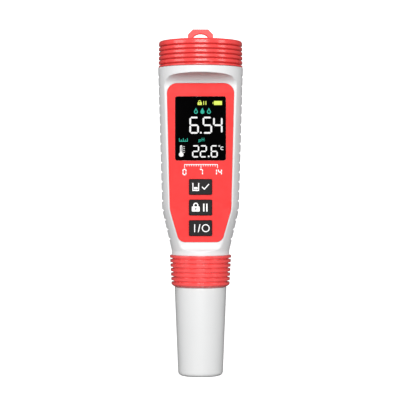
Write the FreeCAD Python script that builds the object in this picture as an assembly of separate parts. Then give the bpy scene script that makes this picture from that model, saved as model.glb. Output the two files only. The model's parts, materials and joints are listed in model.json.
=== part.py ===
import FreeCAD, Part
import math
import os

# pH meter pen, standing upright on its protective cap.
# Millimetres. +Z runs up the pen's axis, the flat front face looks along -Y.
# The origin is the middle of the protective cap's flat underside.

# Fits between neighbouring pieces
seam = 0.2            # visible gap between outer pieces
fit = 0.1             # gap between seated flat faces
key_gap = 0.15        # gap round a key in its openings
slide_gap = 0.05      # radial gap of a pin in its bore
cut_past = 1.0        # how far a cutting tool runs past the face it opens
beyond = 60.0         # longer than half of any piece, for cutting boxes

# Protective cap
guard_cap_length = 44.1
guard_cap_base_radius = 11.12
guard_cap_mouth_radius = 12.92
guard_cap_corner = 2.0
guard_cap_foot_angle = 45.0     # part of the corner that is bevelled, so that the foot stands on one edge
guard_cap_wall = 1.7
guard_cap_floor = 2.0
sponge_height = 3.0
sponge_gap = 0.3

# Collar, the finned ring nut
collar_height = 15.7
collar_wall = 2.3
collar_taper = 0.85
collar_fins = 7
collar_fin_height = 1.1
collar_groove_depth = 1.2
collar_bevel_height = 1.1
collar_bevel_width = 1.5
collar_lip_height = 3.0
collar_groove_outer = 0.08      # shares of the fins' pitch
collar_groove_inner = 0.12

# Housing, outside
neck_step = 2.25
neck_blend = 3.0
neck_height = 2.2
flare_height = 20.4
flare_top_radius = 19.26
flare_blend = 28.0
body_height = 93.2
shoulder_radius = 21.3
wall = 2.0
face_depth = 11.2
heel_height = 1.4
heel_blend = 0.8
brow_drop = 3.4
brow_height = 5.2
brow_corner_depth = 4.8
brow_corner_drop = 0.95
brow_radius = 17.0
brow_root_radius = 2.5
grip_count = 18
grip_pitch = 4.75
grip_first = 4.45
grip_depth = 0.6
grip_half_height = 0.7
grip_reach = 0.7           # share of the face's depth

# Housing, ends
spigot_radius = 12.2
spigot_wall = 1.9
spigot_length = 9.4
thread_gap = 0.15
seal_bevel = 0.8
mouth_step = 3.0
mouth_wall = 1.8
mouth_height = 9.2
shelf_height = 2.0
shelf_groove_depth = 2.2
lap_height = 1.5
lap_thickness = 0.9
rib_count = 3
rib_thickness = 1.2
rib_height = 1.2
rib_root = 0.5
rib_first_drop = 18.0
rib_pitch = 20.0

# Face plate, display window and keys
plate_thickness = 1.0
plate_proud = 0.2
plate_top_margin = 1.2
plate_waist_margin = 0.55
plate_bottom = 6.7
plate_height = 78.3
plate_foot_half_width = 10.2
plate_waist_rise = 16.0
plate_top_corner = 5.0
plate_foot_corner = 3.0
plate_waist_blend = 12.0
window_width = 24.6
window_height = 31.15
window_rise = 62.68
window_corner = 0.7
window_sink = 0.1
window_ledge = 1.1
key_width = 11.1
key_height = 7.5
key_corner = 0.8
key_proud = 0.6
key_travel = 0.5
key_flange = 1.0
key_flange_thickness = 0.8
key_pitch = 10.13
key_top_rise = 33.87
key_names = ["calibrate", "hold", "power"]

# Display stack and circuit board
panel_thickness = 2.0
panel_overlap = 1.0
panel_glass_margin = 2.0
panel_corner = 0.3
backlight_thickness = 2.0
backlight_frame = 2.0
backlight_pocket = 0.4
backlight_corner = 0.5
connector_height = 1.9
connector_inset = 1.0
board_thickness = 1.6
board_half_width = 13.0
board_tail_half_width = 10.0
board_top_drop = 8.6
board_tail_rise = 18.0
board_tail_straight = 0.4  # share of the tail's rise
board_corner = 1.0
switch_width = 6.0
switch_floor = 0.4
switch_corner = 0.4
plunger_radius = 1.7
plunger_out = 0.75
plunger_inside = 0.8
boss_radius = 2.4
boss_root = 0.5
screw_radius = 0.9
screw_head_radius = 1.9
screw_head_height = 1.2
screw_depth = 3.0
screw_slot_width = 0.5
screw_edge = 1.2
chip_width = 10.0
chip_thickness = 1.5
capacitor_radius = 2.0
capacitor_height = 3.0
capacitor_spread = 6.0
capacitor_drop = 4.0
crystal_width = 5.0
crystal_depth = 2.0
crystal_thickness = 1.6
resistor_count = 5
resistor_pitch = 2.6
resistor_length = 1.6
resistor_width = 0.8
resistor_thickness = 0.6
resistor_drop = 11.6

# Battery bay
cell_radius = 5.8
cell_thickness = 5.4
cell_count = 4
cell_edge = 0.5
cell_edge_width = 1.2
cell_sink = 0.8
contact_thickness = 0.4
contact_width = 7.0
contact_leg_depth = 3.0
leaf_inset = 1.0
spring_reach = 1.7
tray_gap = 0.2
tray_floor = 1.8
tray_wall_rise = 4.1
tray_flange = 2.0

# Battery cap
cap_height = 13.2
cap_step = 0.1
cap_taper = 0.4
cap_crown_width = 2.8
cap_crown_drop = 0.35
cap_ridges = 6
cap_ridge_pitch = 2.25
cap_groove_depth = 0.7
cap_groove_height = 1.0
cap_groove_flat = 0.35     # share of the groove's height
cap_first_groove = 1.25    # height above the cap's foot
cap_rim_rounding = 1.3
cap_crown_rounding = 3.0
cap_ceiling = 2.0
gasket_radius = 0.6
seal_sides = 8
loop_half_width = 6.3
loop_top_half_width = 4.2
loop_height = 5.45
loop_side_height = 3.15
loop_thickness = 3.2
loop_hole_radius = 3.9
loop_corner = 0.5
loop_root = 0.5

# Electrode
probe_length = 33.3
tube_gap = 0.82
tube_tip_gap = 0.32
tube_shoulder = 6.1
tube_step_height = 1.0
tube_tip_rounding = 0.6
flange_inset = 0.2
flange_height = 2.5
guard_depth = 16.0
partition_thickness = 2.5
slot_width = 5.5
slot_height = 12.0
slot_count = 4
cap_seal_radius = 0.6
cap_seal_drop = 2.9
collar_seal_radius = 0.65
plug_gap = 0.9
plug_height = 7.3
keyway_width = 2.0
keyway_depth = 1.2
keyway_rise = 2.0
header_seat = 3.0
header_seat_step = 0.8
header_seat_ledge = 1.0
pin_radius = 0.5
pin_circle = 5.0
pin_count = 5
pin_height = 3.6
pin_tip_height = 0.4
bulb_radius = 4.2
bulb_rise = 8.6
stem_radius = 2.5
stem_height = 16.0
glass_wall = 0.5
wire_radius = 0.35
sensor_radius = 1.3
sensor_circle = 6.0
sensor_tip = 5.5
sensor_height = 19.0
junction_radius = 1.2
junction_out = 2.0
junction_height = 7.0
socket_flange_height = 1.5
socket_contact_count = 4
socket_contact_pitch = 3.0
socket_contact_radius = 0.4
socket_contact_rise = 3.0

# Radii of the pieces that fit inside each other
spigot_bore = spigot_radius - spigot_wall
neck_radius = spigot_radius + neck_step
collar_foot_radius = spigot_radius + collar_wall
collar_top_radius = collar_foot_radius + collar_taper
mouth_radius = shoulder_radius - mouth_step
mouth_bore = mouth_radius - mouth_wall
shelf_groove_radius = mouth_bore + shelf_groove_depth
cap_foot_radius = shoulder_radius - cap_step
cap_top_radius = cap_foot_radius - cap_taper
cap_crown_radius = cap_top_radius - cap_crown_width
tube_radius = guard_cap_mouth_radius - guard_cap_wall - tube_gap
tube_tip_radius = guard_cap_base_radius - guard_cap_wall - tube_tip_gap
flange_radius = spigot_radius - flange_inset
plug_radius = spigot_bore - plug_gap
header_seat_radius = plug_radius - header_seat_step
tube_bore = header_seat_radius - header_seat_ledge

# Heights of the main seams, from the protective cap's underside
collar_bottom = guard_cap_length + seam
collar_top = collar_bottom + collar_height
body_bottom = collar_top + 0.5 * seam
shoulder = body_bottom + body_height
cap_bottom = shoulder + seam
cap_top = cap_bottom + cap_height
spigot_end = body_bottom - spigot_length
flange_bottom = collar_bottom + collar_lip_height + fit
flange_top = flange_bottom + flange_height
tube_tip_height = collar_bottom - probe_length
bulb_centre = tube_tip_height + bulb_rise

# Depths behind the flat front face, along Y
pocket_floor = -(face_depth - plate_thickness + plate_proud)
inner_face = -(face_depth - wall)
panel_front = inner_face + fit
backlight_front = panel_front + panel_thickness
board_front = backlight_front + backlight_thickness + fit
board_back = board_front + board_thickness

switch_height = plunger_inside + key_travel + fit + switch_floor

# Board and display heights
window_centre = body_bottom + window_rise
key_top_centre = body_bottom + key_top_rise
socket_top = body_bottom + neck_height + socket_flange_height
board_bottom = socket_top + 2.0 * fit
board_top = shoulder - board_top_drop
panel_bottom = window_centre - window_height / 2.0 - panel_overlap
panel_top = window_centre + window_height / 2.0 + panel_overlap
key_centres = [key_top_centre - index * key_pitch for index in range(len(key_names))]
screw_rows = [
    board_bottom + boss_radius + screw_edge,
    (panel_bottom + key_top_centre + key_height / 2.0 + key_flange) / 2.0,
    (panel_top + board_top) / 2.0,
]
screw_half_widths = [board_tail_half_width - boss_radius] + 2 * [board_half_width - boss_radius]


def point(x, y, z):
    return FreeCAD.Vector(x, y, z)


def side_view(radius, height):
    return point(radius, 0, height)


def front_view(x, z):
    return point(x, 0, z)


def end_view(y, z):
    return point(0, y, z)


def half_corner(before, corner, after):
    """Half of the angle between the two sides that meet in a corner."""
    return (before - corner).getAngle(after - corner) / 2.0


def corner_arc(before, corner, after, reach):
    """Arc that rounds a corner and takes the given length off both its sides."""
    back = (before - corner).normalize()
    ahead = (after - corner).normalize()
    half_angle = back.getAngle(ahead) / 2.0
    rounding = reach * math.tan(half_angle)
    bisector = (back + ahead).normalize()
    centre = corner + bisector * (rounding / math.sin(half_angle))
    return Part.Arc(corner + back * reach, centre - bisector * rounding, corner + ahead * reach)


def outline(corners, view):
    """Closed face through corners (a, b) or (a, b, rounding), placed by a view."""
    count = len(corners)
    places = [view(corner[0], corner[1]) for corner in corners]
    reaches = []
    for index, corner in enumerate(corners):
        rounding = corner[2] if len(corner) == 3 else 0
        half_angle = half_corner(places[index - 1], places[index], places[(index + 1) % count])
        reaches.append(rounding / math.tan(half_angle) if rounding else 0)
    shares = [1.0] * count
    for index in range(count):
        following = (index + 1) % count
        room = 0.98 * (places[following] - places[index]).Length
        wanted = reaches[index] + reaches[following]
        if wanted > room:
            shares[index] = min(shares[index], room / wanted)
            shares[following] = min(shares[following], room / wanted)
    edges = []
    stops = []
    for index in range(count):
        reach = reaches[index] * shares[index]
        if reach > 0:
            following = places[(index + 1) % count]
            arc = corner_arc(places[index - 1], places[index], following, reach)
            stops.append((arc.StartPoint, arc.EndPoint))
            edges.append(arc.toShape())
        else:
            stops.append((places[index], places[index]))
    for index in range(count):
        edges.append(Part.makeLine(stops[index][1], stops[(index + 1) % count][0]))
    return Part.Face(Part.Wire(Part.sortEdges(edges)[0]))


def turned(corners):
    """Solid of revolution about the pen's axis, from (radius, height) corners."""
    face = outline(corners, side_view)
    return face.revolve(point(0, 0, 0), point(0, 0, 1), 360)


def across(corners, half_length):
    """Solid of a (y, z) outline that runs along X, centred on the axis."""
    face = outline(corners, end_view)
    face.translate(point(-half_length, 0, 0))
    return face.extrude(point(2 * half_length, 0, 0))


def pressed(corners, front, back):
    """Solid of an (x, z) outline that runs along Y, from front to back."""
    face = outline(corners, front_view)
    face.translate(point(0, front, 0))
    return face.extrude(point(0, back - front, 0))


def tablet(width, height, corner, centre, front, back):
    """Rounded rectangular plate that faces along Y."""
    half_width = width / 2.0
    half_height = height / 2.0
    corners = [
        (-half_width, centre - half_height, corner),
        (half_width, centre - half_height, corner),
        (half_width, centre + half_height, corner),
        (-half_width, centre + half_height, corner),
    ]
    return pressed(corners, front, back)


def disc(radius, bottom, top, x=0, y=0):
    return Part.makeCylinder(radius, top - bottom, point(x, y, bottom))


def rod_along_y(radius, front, back, x, z):
    return Part.makeCylinder(radius, back - front, point(x, front, z), point(0, 1, 0))


def block(left, right, front, back, bottom, top):
    return Part.makeBox(right - left, back - front, top - bottom, point(left, front, bottom))


def seal_ring(centre_radius, section_radius, height):
    """Sealing ring whose round section is drawn with a few flat sides."""
    corners = []
    for side in range(seal_sides):
        turn = 2.0 * math.pi * side / seal_sides
        radius = centre_radius + section_radius * math.cos(turn)
        corners.append((radius, height + section_radius * math.sin(turn)))
    return turned(corners)


def joined(solids):
    whole = solids[0].fuse(solids[1:])
    return whole.removeSplitter()


def around(solid, count, first_angle=0):
    """Copies of a solid, spaced evenly about the pen's axis."""
    copies = []
    for index in range(count):
        copy = solid.copy()
        copy.rotate(point(0, 0, 0), point(0, 0, 1), first_angle + 360.0 * index / count)
        copies.append(copy)
    return copies


def save(name, shape):
    shape.exportStep("parts/" + name + ".step")


def guard_cap_radius(height):
    """Outer radius of the protective cap at a height."""
    rise = height / guard_cap_length
    return guard_cap_base_radius + (guard_cap_mouth_radius - guard_cap_base_radius) * rise


def body_radius(height):
    """Outer radius of the housing above its flare, at a height."""
    flare_top = body_bottom + neck_height + flare_height
    share = (height - flare_top) / (shoulder - flare_top)
    if share >= 0:
        return flare_top_radius + (shoulder_radius - flare_top_radius) * share
    share = max(0.0, (height - body_bottom - neck_height) / flare_height)
    return neck_radius + (flare_top_radius - neck_radius) * share


def protective_cap():
    mouth = guard_cap_length
    inner_base = guard_cap_base_radius - guard_cap_wall
    inner_mouth = guard_cap_mouth_radius - guard_cap_wall
    foot_radius = guard_cap_base_radius - guard_cap_corner
    turn = math.radians(guard_cap_foot_angle)
    bevel_width = guard_cap_corner * math.sin(turn)
    bevel_height = guard_cap_corner * (1.0 - math.cos(turn))
    corner_height = bevel_height + (guard_cap_corner - bevel_width) * math.tan(turn)
    outer = turned([
        (0, 0),
        (foot_radius, 0),
        (foot_radius + bevel_width, bevel_height),
        (guard_cap_base_radius, corner_height, guard_cap_corner),
        (guard_cap_mouth_radius, mouth),
        (0, mouth),
    ])
    inner = turned([
        (0, guard_cap_floor),
        (inner_base, guard_cap_floor, guard_cap_corner / 2.0),
        (inner_mouth, mouth),
        (0, mouth),
    ])
    return outer.cut(inner)


def soaking_sponge():
    radius = guard_cap_base_radius - guard_cap_wall - guard_cap_corner / 2.0
    bottom = guard_cap_floor + sponge_gap
    return disc(radius, bottom, bottom + sponge_height - sponge_gap)


def collar():
    """Fins stand on a tapered drum, over a lip that holds the electrode's flange."""
    bevel_top = collar_bottom + collar_bevel_height
    pitch = (collar_top - bevel_top - collar_fin_height) / (collar_fins - 1)

    def fin_radius(height):
        share = (height - bevel_top) / (collar_top - bevel_top)
        return collar_foot_radius + (collar_top_radius - collar_foot_radius) * share

    outside = [(0, collar_bottom), (collar_foot_radius - collar_bevel_width, collar_bottom)]
    for index in range(collar_fins):
        low = bevel_top + index * pitch
        high = low + collar_fin_height
        if index > 0:
            outside.append((fin_radius(low) - collar_groove_depth, low - collar_groove_inner * pitch))
            outside.append((fin_radius(low), low + collar_groove_outer * pitch))
        else:
            outside.append((fin_radius(low), low))
        if index < collar_fins - 1:
            outside.append((fin_radius(high), high - collar_groove_outer * pitch))
            outside.append((fin_radius(high) - collar_groove_depth, high + collar_groove_inner * pitch))
        else:
            outside.append((fin_radius(high), high))
    outside.append((0, collar_top))
    lip_top = collar_bottom + collar_lip_height
    drum = turned(outside)
    bore = disc(tube_radius + thread_gap, collar_bottom, lip_top)
    thread_bore = disc(spigot_radius + thread_gap, lip_top, collar_top)
    return drum.cut(joined([bore, thread_bore]))


def housing_form():
    """Outside of the whole housing: turned body, flat face, brow, grips and ends."""
    flare_bottom = body_bottom + neck_height
    flare_top = flare_bottom + flare_height
    body = turned([
        (0, spigot_end),
        (spigot_radius, spigot_end),
        (spigot_radius, body_bottom),
        (neck_radius, body_bottom),
        (neck_radius, flare_bottom, neck_blend),
        (flare_top_radius, flare_top, flare_blend),
        (shoulder_radius, shoulder),
        (mouth_radius, shoulder),
        (mouth_radius, shoulder + mouth_height),
        (0, shoulder + mouth_height),
    ])
    outside = 2.0 * shoulder_radius
    brow_edge = shoulder - brow_drop
    brow_corner = -face_depth - brow_corner_depth
    brow_slope = brow_corner_drop / (shoulder_radius + brow_corner)
    front_cut = across([
        (-outside, flare_bottom),
        (-neck_radius, flare_bottom),
        (-face_depth, flare_bottom + heel_height, heel_blend),
        (-face_depth, brow_edge - brow_height, brow_root_radius),
        (brow_corner, brow_edge - brow_corner_drop, brow_radius),
        (-outside, brow_edge + brow_slope * (outside - shoulder_radius)),
    ], outside)
    body = body.cut(front_cut)
    half_length = grip_reach * face_depth
    for index in range(grip_count):
        height = shoulder - grip_first - index * grip_pitch
        root = body_radius(height) - grip_depth
        mouth = root + 2 * grip_depth
        for side in (-1, 1):
            notch = pressed([
                (side * root, height),
                (side * mouth, height - 2 * grip_half_height),
                (side * mouth, height + 2 * grip_half_height),
            ], -half_length, half_length)
            body = body.cut(notch)
    return body


def housing_cavity():
    """Everything hollow inside the two shells."""
    flare_bottom = body_bottom + neck_height
    flare_top = flare_bottom + flare_height
    shelf_bottom = shoulder - wall - tray_flange - 2 * fit - shelf_height
    groove_bottom = shelf_bottom + shelf_height
    groove_top = shoulder - wall
    main = turned([
        (0, flare_bottom),
        (neck_radius - wall, flare_bottom),
        (flare_top_radius - wall, flare_top, flare_blend),
        (body_radius(shelf_bottom) - wall, shelf_bottom),
        (0, shelf_bottom),
    ])
    shelf_hole = disc(mouth_bore, shelf_bottom, groove_bottom)
    groove = disc(shelf_groove_radius, groove_bottom, groove_top)
    behind_face = block(-beyond, beyond, inner_face, beyond, flare_bottom, groove_top)
    room = joined([main, shelf_hole, groove]).common(behind_face)
    mouth = disc(mouth_bore, groove_top, shoulder + mouth_height)
    spigot = disc(spigot_bore, spigot_end, flare_bottom)
    seat = Part.makeCone(
        spigot_bore + seal_bevel, spigot_bore, seal_bevel, point(0, 0, spigot_end)
    )
    return joined([room, mouth, spigot, seat])


def plate_outline(shrink):
    """Corners of the face plate, from its foot up, set in from the edges of the flat face."""
    plate_top = plate_bottom_height() + plate_height
    waist = plate_bottom_height() + plate_waist_rise

    def half_face(height):
        return math.sqrt(body_radius(height) ** 2 - face_depth ** 2)

    right = [
        (plate_foot_half_width - shrink, plate_bottom_height() + shrink, plate_foot_corner),
        (half_face(waist) - plate_waist_margin - shrink, waist, plate_waist_blend),
        (half_face(plate_top) - plate_top_margin - shrink, plate_top - shrink, plate_top_corner),
    ]
    left = [(-corner[0], corner[1], corner[2]) for corner in reversed(right)]
    return right + left


def plate_bottom_height():
    return body_bottom + plate_bottom


def key_openings(gap, front, back):
    openings = []
    for centre in key_centres:
        width = key_width + 2 * gap
        height = key_height + 2 * gap
        openings.append(tablet(width, height, key_corner + gap, centre, front, back))
    return openings


def lap_profile(thickness):
    """Turned solid that reaches from the axis to a depth inside the wall, for the parting lap."""
    flare_bottom = body_bottom + neck_height
    flare_top = flare_bottom + flare_height
    inset = wall - thickness
    low = flare_bottom + wall
    low_share = wall / flare_height
    low_radius = neck_radius + (flare_top_radius - neck_radius) * low_share
    top = shelf_top() - shelf_height
    return turned([
        (0, low),
        (low_radius - inset, low),
        (flare_top_radius - inset, flare_top, flare_blend),
        (body_radius(top) - inset, top),
        (0, top),
    ])


def parting_lap(thickness, height):
    """Inner half of the wall that one shell carries past the parting plane."""
    band = block(-beyond, beyond, 0, height, body_bottom, shoulder)
    return lap_profile(thickness).cut(lap_profile(0)).common(band)


def rear_ribs():
    """Half hoops that stiffen the rear shell."""
    hoops = []
    for index in range(rib_count):
        height = window_centre + rib_first_drop - rib_pitch * (index + 1)
        radius = body_radius(height) - wall
        hoop = disc(radius + rib_root, height, height + rib_thickness).cut(
            disc(radius - rib_height, height, height + rib_thickness)
        )
        behind = block(-beyond, beyond, lap_height + 2 * fit, beyond, height, height + rib_thickness)
        hoops.append(hoop.common(behind))
    return hoops


def shells():
    """Front and rear halves of the housing, split through the axis."""
    form = housing_form().cut(housing_cavity())
    bottom = spigot_end - cut_past
    top = shoulder + mouth_height + cut_past
    front = form.common(block(-beyond, beyond, -beyond, 0, bottom, top))
    rear = form.common(block(-beyond, beyond, 0, beyond, bottom, top))
    front = front.fuse(parting_lap(lap_thickness, lap_height))
    rear = rear.cut(parting_lap(lap_thickness + fit, lap_height + fit))
    rear = rear.fuse(rear_ribs()).removeSplitter()

    front = front.cut(pressed(plate_outline(-fit), -face_depth - cut_past, pocket_floor))
    window_opening = tablet(
        window_width - 2 * window_ledge, window_height - 2 * window_ledge, window_corner,
        window_centre, -face_depth - cut_past, inner_face + cut_past
    )
    keyholes = key_openings(key_gap, -face_depth - cut_past, inner_face + cut_past)
    front = front.cut([window_opening] + keyholes)
    bosses = []
    holes = []
    for height, half_width in zip(screw_rows, screw_half_widths):
        for side in (-1, 1):
            x = side * half_width
            bosses.append(rod_along_y(boss_radius, inner_face - boss_root, board_front, x, height))
            hole_floor = board_front - screw_depth - fit
            holes.append(rod_along_y(screw_radius, hole_floor, board_front, x, height))
    front = front.fuse(bosses).cut(holes).removeSplitter()
    return front, rear


def face_plate():
    front = pocket_floor - plate_thickness
    plate = pressed(plate_outline(0), front, pocket_floor)
    window = tablet(
        window_width + 2 * fit, window_height + 2 * fit, window_corner + fit,
        window_centre, front - cut_past, pocket_floor + cut_past
    )
    keyholes = key_openings(key_gap, front - cut_past, pocket_floor + cut_past)
    return plate.cut([window] + keyholes)


def display_window():
    front = pocket_floor - plate_thickness + window_sink
    return tablet(window_width, window_height, window_corner, window_centre, front, pocket_floor)


def display_panel():
    width = window_width + 2 * panel_overlap
    height = window_height + 2 * panel_overlap
    middle = panel_front + panel_thickness / 2.0
    lower_glass = tablet(width, height, panel_corner, window_centre, middle, backlight_front)
    upper_height = height - panel_glass_margin
    upper_centre = window_centre + panel_glass_margin / 2.0
    upper_glass = tablet(width, upper_height, panel_corner, upper_centre, panel_front, middle)
    return joined([lower_glass, upper_glass])


def display_backlight():
    width = window_width + 2 * panel_overlap
    bottom = panel_bottom + connector_height + 2 * fit
    height = panel_top - bottom
    centre = bottom + height / 2.0
    frame = tablet(width, height, backlight_corner, centre, backlight_front, board_front)
    pocket = tablet(
        width - 2 * backlight_frame, height - 2 * backlight_frame, backlight_corner,
        centre, backlight_front, backlight_front + backlight_pocket
    )
    return frame.cut(pocket)


def display_connector():
    half_width = window_width / 2.0 - connector_inset
    top = panel_bottom + connector_height
    return block(-half_width, half_width, backlight_front, board_front, panel_bottom, top)


def circuit_board():
    tail_top = board_bottom + board_tail_rise
    right = [
        (board_tail_half_width, board_bottom, board_corner),
        (board_tail_half_width, board_bottom + board_tail_straight * board_tail_rise, board_corner),
        (board_half_width, tail_top, board_corner),
        (board_half_width, board_top, board_corner),
    ]
    left = [(-corner[0], corner[1], corner[2]) for corner in reversed(right)]
    board = pressed(right + left, board_front, board_back)
    holes = []
    for height, half_width in zip(screw_rows, screw_half_widths):
        for side in (-1, 1):
            holes.append(
                rod_along_y(screw_radius + fit, board_front, board_back, side * half_width, height)
            )
    return board.cut(holes)


def board_screws():
    screws = []
    for height, half_width in zip(screw_rows, screw_half_widths):
        for side in (-1, 1):
            x = side * half_width
            shank = rod_along_y(screw_radius, board_front - screw_depth, board_back, x, height)
            head = rod_along_y(
                screw_head_radius, board_back, board_back + screw_head_height, x, height
            )
            slot = block(
                x - screw_slot_width / 2.0, x + screw_slot_width / 2.0,
                board_back + screw_head_height / 2.0, board_back + screw_head_height,
                height - screw_head_radius, height + screw_head_radius
            )
            screws.append(joined([shank, head]).cut(slot))
    return Part.makeCompound(screws)


def control_chip():
    centre = window_centre
    half = chip_width / 2.0
    return block(-half, half, board_back, board_back + chip_thickness, centre - half, centre + half)


def board_parts():
    """Small parts on the back of the board: two capacitors, a crystal and a row of resistors."""
    low = window_centre - chip_width
    row = low - capacitor_drop
    solids = [
        rod_along_y(capacitor_radius, board_back, board_back + capacitor_height, x, row)
        for x in (-capacitor_spread, capacitor_spread)
    ]
    solids.append(block(
        -crystal_width / 2.0, crystal_width / 2.0, board_back, board_back + crystal_thickness,
        row - crystal_depth / 2.0, row + crystal_depth / 2.0
    ))
    first = -(resistor_count - 1) * resistor_pitch / 2.0
    for index in range(resistor_count):
        centre = first + index * resistor_pitch
        solids.append(block(
            centre - resistor_length / 2.0, centre + resistor_length / 2.0,
            board_back, board_back + resistor_thickness,
            low - resistor_drop - resistor_width / 2.0, low - resistor_drop + resistor_width / 2.0
        ))
    return Part.makeCompound(solids)


def switch_top():
    return board_front - switch_height


def button_switches():
    switches = []
    for centre in key_centres:
        base = tablet(switch_width, switch_width, switch_corner, centre, switch_top(), board_front)
        bore = rod_along_y(
            plunger_radius + slide_gap, switch_top(), board_front - switch_floor, 0, centre
        )
        switches.append(base.cut(bore))
    return Part.makeCompound(switches)


def plunger(centre):
    return rod_along_y(
        plunger_radius, switch_top() - plunger_out, switch_top() + plunger_inside, 0, centre
    )


def key(centre):
    """Key cap with a flange behind the wall and a stem that meets its plunger."""
    front = pocket_floor - plate_thickness - key_proud
    flange_front = inner_face + fit
    flange_back = flange_front + key_flange_thickness
    cap = tablet(key_width, key_height, key_corner, centre, front, flange_front)
    flange = tablet(
        key_width + 2 * key_flange, key_height + 2 * key_flange, key_corner + key_flange,
        centre, flange_front, flange_back
    )
    stem = rod_along_y(plunger_radius, flange_front, switch_top() - plunger_out, 0, centre)
    return joined([cap, flange, stem])


def tray_bottom():
    return cell_axis() - cell_radius - fit - tray_floor


def shelf_top():
    return shoulder - wall - tray_flange - 2 * fit


def cell_axis():
    """Height of the row of cells, whose lower side sinks just below the tray's flange."""
    return shelf_top() - cell_sink + cell_radius + fit


def cell_row_start():
    return -(cell_count * cell_thickness + spring_reach) / 2.0


def battery_tray():
    """Round insert: a flange under the shoulder, a body in the mouth, a trough for the cells."""
    radius = mouth_bore - tray_gap
    flange_bottom_height = shelf_top() + fit
    flange_top_height = flange_bottom_height + tray_flange
    body_floor = shoulder - wall + fit
    top = cell_axis() + tray_wall_rise
    behind = block(-beyond, beyond, inner_face + tray_gap, beyond, tray_bottom(), body_floor)
    lower = joined([
        disc(radius, tray_bottom(), body_floor),
        disc(shelf_groove_radius - tray_gap, flange_bottom_height, flange_top_height),
    ]).common(behind)
    tray = joined([lower, disc(radius, body_floor, top)])
    trough_radius = cell_radius + fit
    left = cell_row_start() - contact_thickness - fit
    right = -left
    trough = Part.makeCylinder(
        trough_radius, right - left, point(left, 0, cell_axis()), point(1, 0, 0)
    )
    lift = block(left, right, -trough_radius, trough_radius, cell_axis(), top)
    legs = []
    for side in (-1, 1):
        outer = side * (right + fit)
        inner = side * (right - contact_thickness - 2 * fit)
        legs.append(block(
            min(outer, inner), max(outer, inner),
            board_back - fit, board_back + contact_leg_depth + fit, tray_bottom(), cell_axis()
        ))
    return tray.cut(joined([trough, lift])).cut(legs)


def battery_cells():
    cells = []
    for index in range(cell_count):
        left = cell_row_start() + index * cell_thickness
        can = Part.makeCylinder(
            cell_radius, cell_thickness - cell_edge, point(left, 0, cell_axis()), point(1, 0, 0)
        )
        button = Part.makeCylinder(
            cell_radius - cell_edge_width, cell_edge,
            point(left + cell_thickness - cell_edge, 0, cell_axis()), point(1, 0, 0)
        )
        cells.append(joined([can, button]))
    return Part.makeCompound(cells)


def contact_leg(left):
    return block(
        left, left + contact_thickness, board_back + fit, board_back + contact_leg_depth,
        screw_rows[-1] + screw_head_radius + fit, cell_axis()
    )


def plate_contact():
    """Flat strip against the first cell, with a leg down to the board."""
    left = cell_row_start() - contact_thickness
    half = contact_width / 2.0
    pad = block(
        left, left + contact_thickness, -half, half, cell_axis() - half, cell_axis() + half
    )
    return joined([pad, contact_leg(left)])


def spring_contact():
    """Bowed leaf that presses on the last cell, with a leg down to the board."""
    right = -cell_row_start() + contact_thickness
    left = right - contact_thickness
    half = contact_width / 2.0
    last_cell = cell_row_start() + cell_count * cell_thickness
    tip = last_cell + fit
    axis = cell_axis()
    inner_bow = Part.Arc(
        point(left, 0, axis - half), point(tip, 0, axis), point(left, 0, axis + half)
    ).toShape()
    outer_bow = Part.Arc(
        point(left, 0, axis - half + leaf_inset), point(tip + contact_thickness, 0, axis),
        point(left, 0, axis + half - leaf_inset)
    ).toShape()
    ends = [
        Part.makeLine(point(left, 0, axis - half), point(left, 0, axis - half + leaf_inset)),
        Part.makeLine(point(left, 0, axis + half), point(left, 0, axis + half - leaf_inset)),
    ]
    bow = Part.Face(Part.Wire(Part.sortEdges([inner_bow, outer_bow] + ends)[0]))
    bow.translate(point(0, -half + leaf_inset, 0))
    leaf = bow.extrude(point(0, contact_width - 2 * leaf_inset, 0))
    pad = block(left, right, -half, half, axis - half, axis + half)
    return joined([pad, leaf, contact_leg(left)])


def battery_cap():
    """Ridged drum, hollow for the mouth and the cells, with the lanyard loop on its crown."""
    def ridge_radius(height):
        share = (height - cap_bottom) / cap_height
        return cap_foot_radius + (cap_top_radius - cap_foot_radius) * share

    outside = [(0, cap_bottom), (ridge_radius(cap_bottom), cap_bottom)]
    for index in range(cap_ridges - 1):
        centre = cap_bottom + cap_first_groove + index * cap_ridge_pitch
        half = cap_groove_height / 2.0
        flat = cap_groove_flat * half
        outside.append((ridge_radius(centre - half), centre - half))
        outside.append((ridge_radius(centre) - cap_groove_depth, centre - flat))
        outside.append((ridge_radius(centre) - cap_groove_depth, centre + flat))
        outside.append((ridge_radius(centre + half), centre + half))
    outside.append((cap_top_radius, cap_top - cap_crown_drop, cap_rim_rounding))
    outside.append((cap_crown_radius, cap_top, cap_crown_rounding))
    outside.append((0, cap_top))
    drum = turned(outside)
    hollow = disc(mouth_radius + thread_gap, cap_bottom, cap_top - cap_ceiling)
    seat_radius = mouth_radius + 2 * slide_gap + 2 * gasket_radius + slide_gap
    seat = disc(seat_radius, cap_bottom, cap_bottom + 2 * gasket_radius + slide_gap)
    drum = drum.cut(joined([hollow, seat]))

    loop_side_top = cap_top + loop_side_height
    plate = pressed([
        (-loop_half_width, cap_top - loop_root),
        (loop_half_width, cap_top - loop_root),
        (loop_half_width, loop_side_top, loop_corner),
        (loop_top_half_width, cap_top + loop_height, loop_corner),
        (-loop_top_half_width, cap_top + loop_height, loop_corner),
        (-loop_half_width, loop_side_top, loop_corner),
    ], -loop_thickness / 2.0, loop_thickness / 2.0)
    hole = rod_along_y(loop_hole_radius, -loop_thickness, loop_thickness, 0, cap_top - fit)
    above = block(-beyond, beyond, -loop_thickness, loop_thickness, cap_top, cap_top + beyond)
    loop = plate.cut(hole.common(above))
    return joined([drum, loop])


def cap_gasket():
    height = cap_bottom + gasket_radius
    return seal_ring(mouth_radius + slide_gap + gasket_radius, gasket_radius, height)


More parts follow.
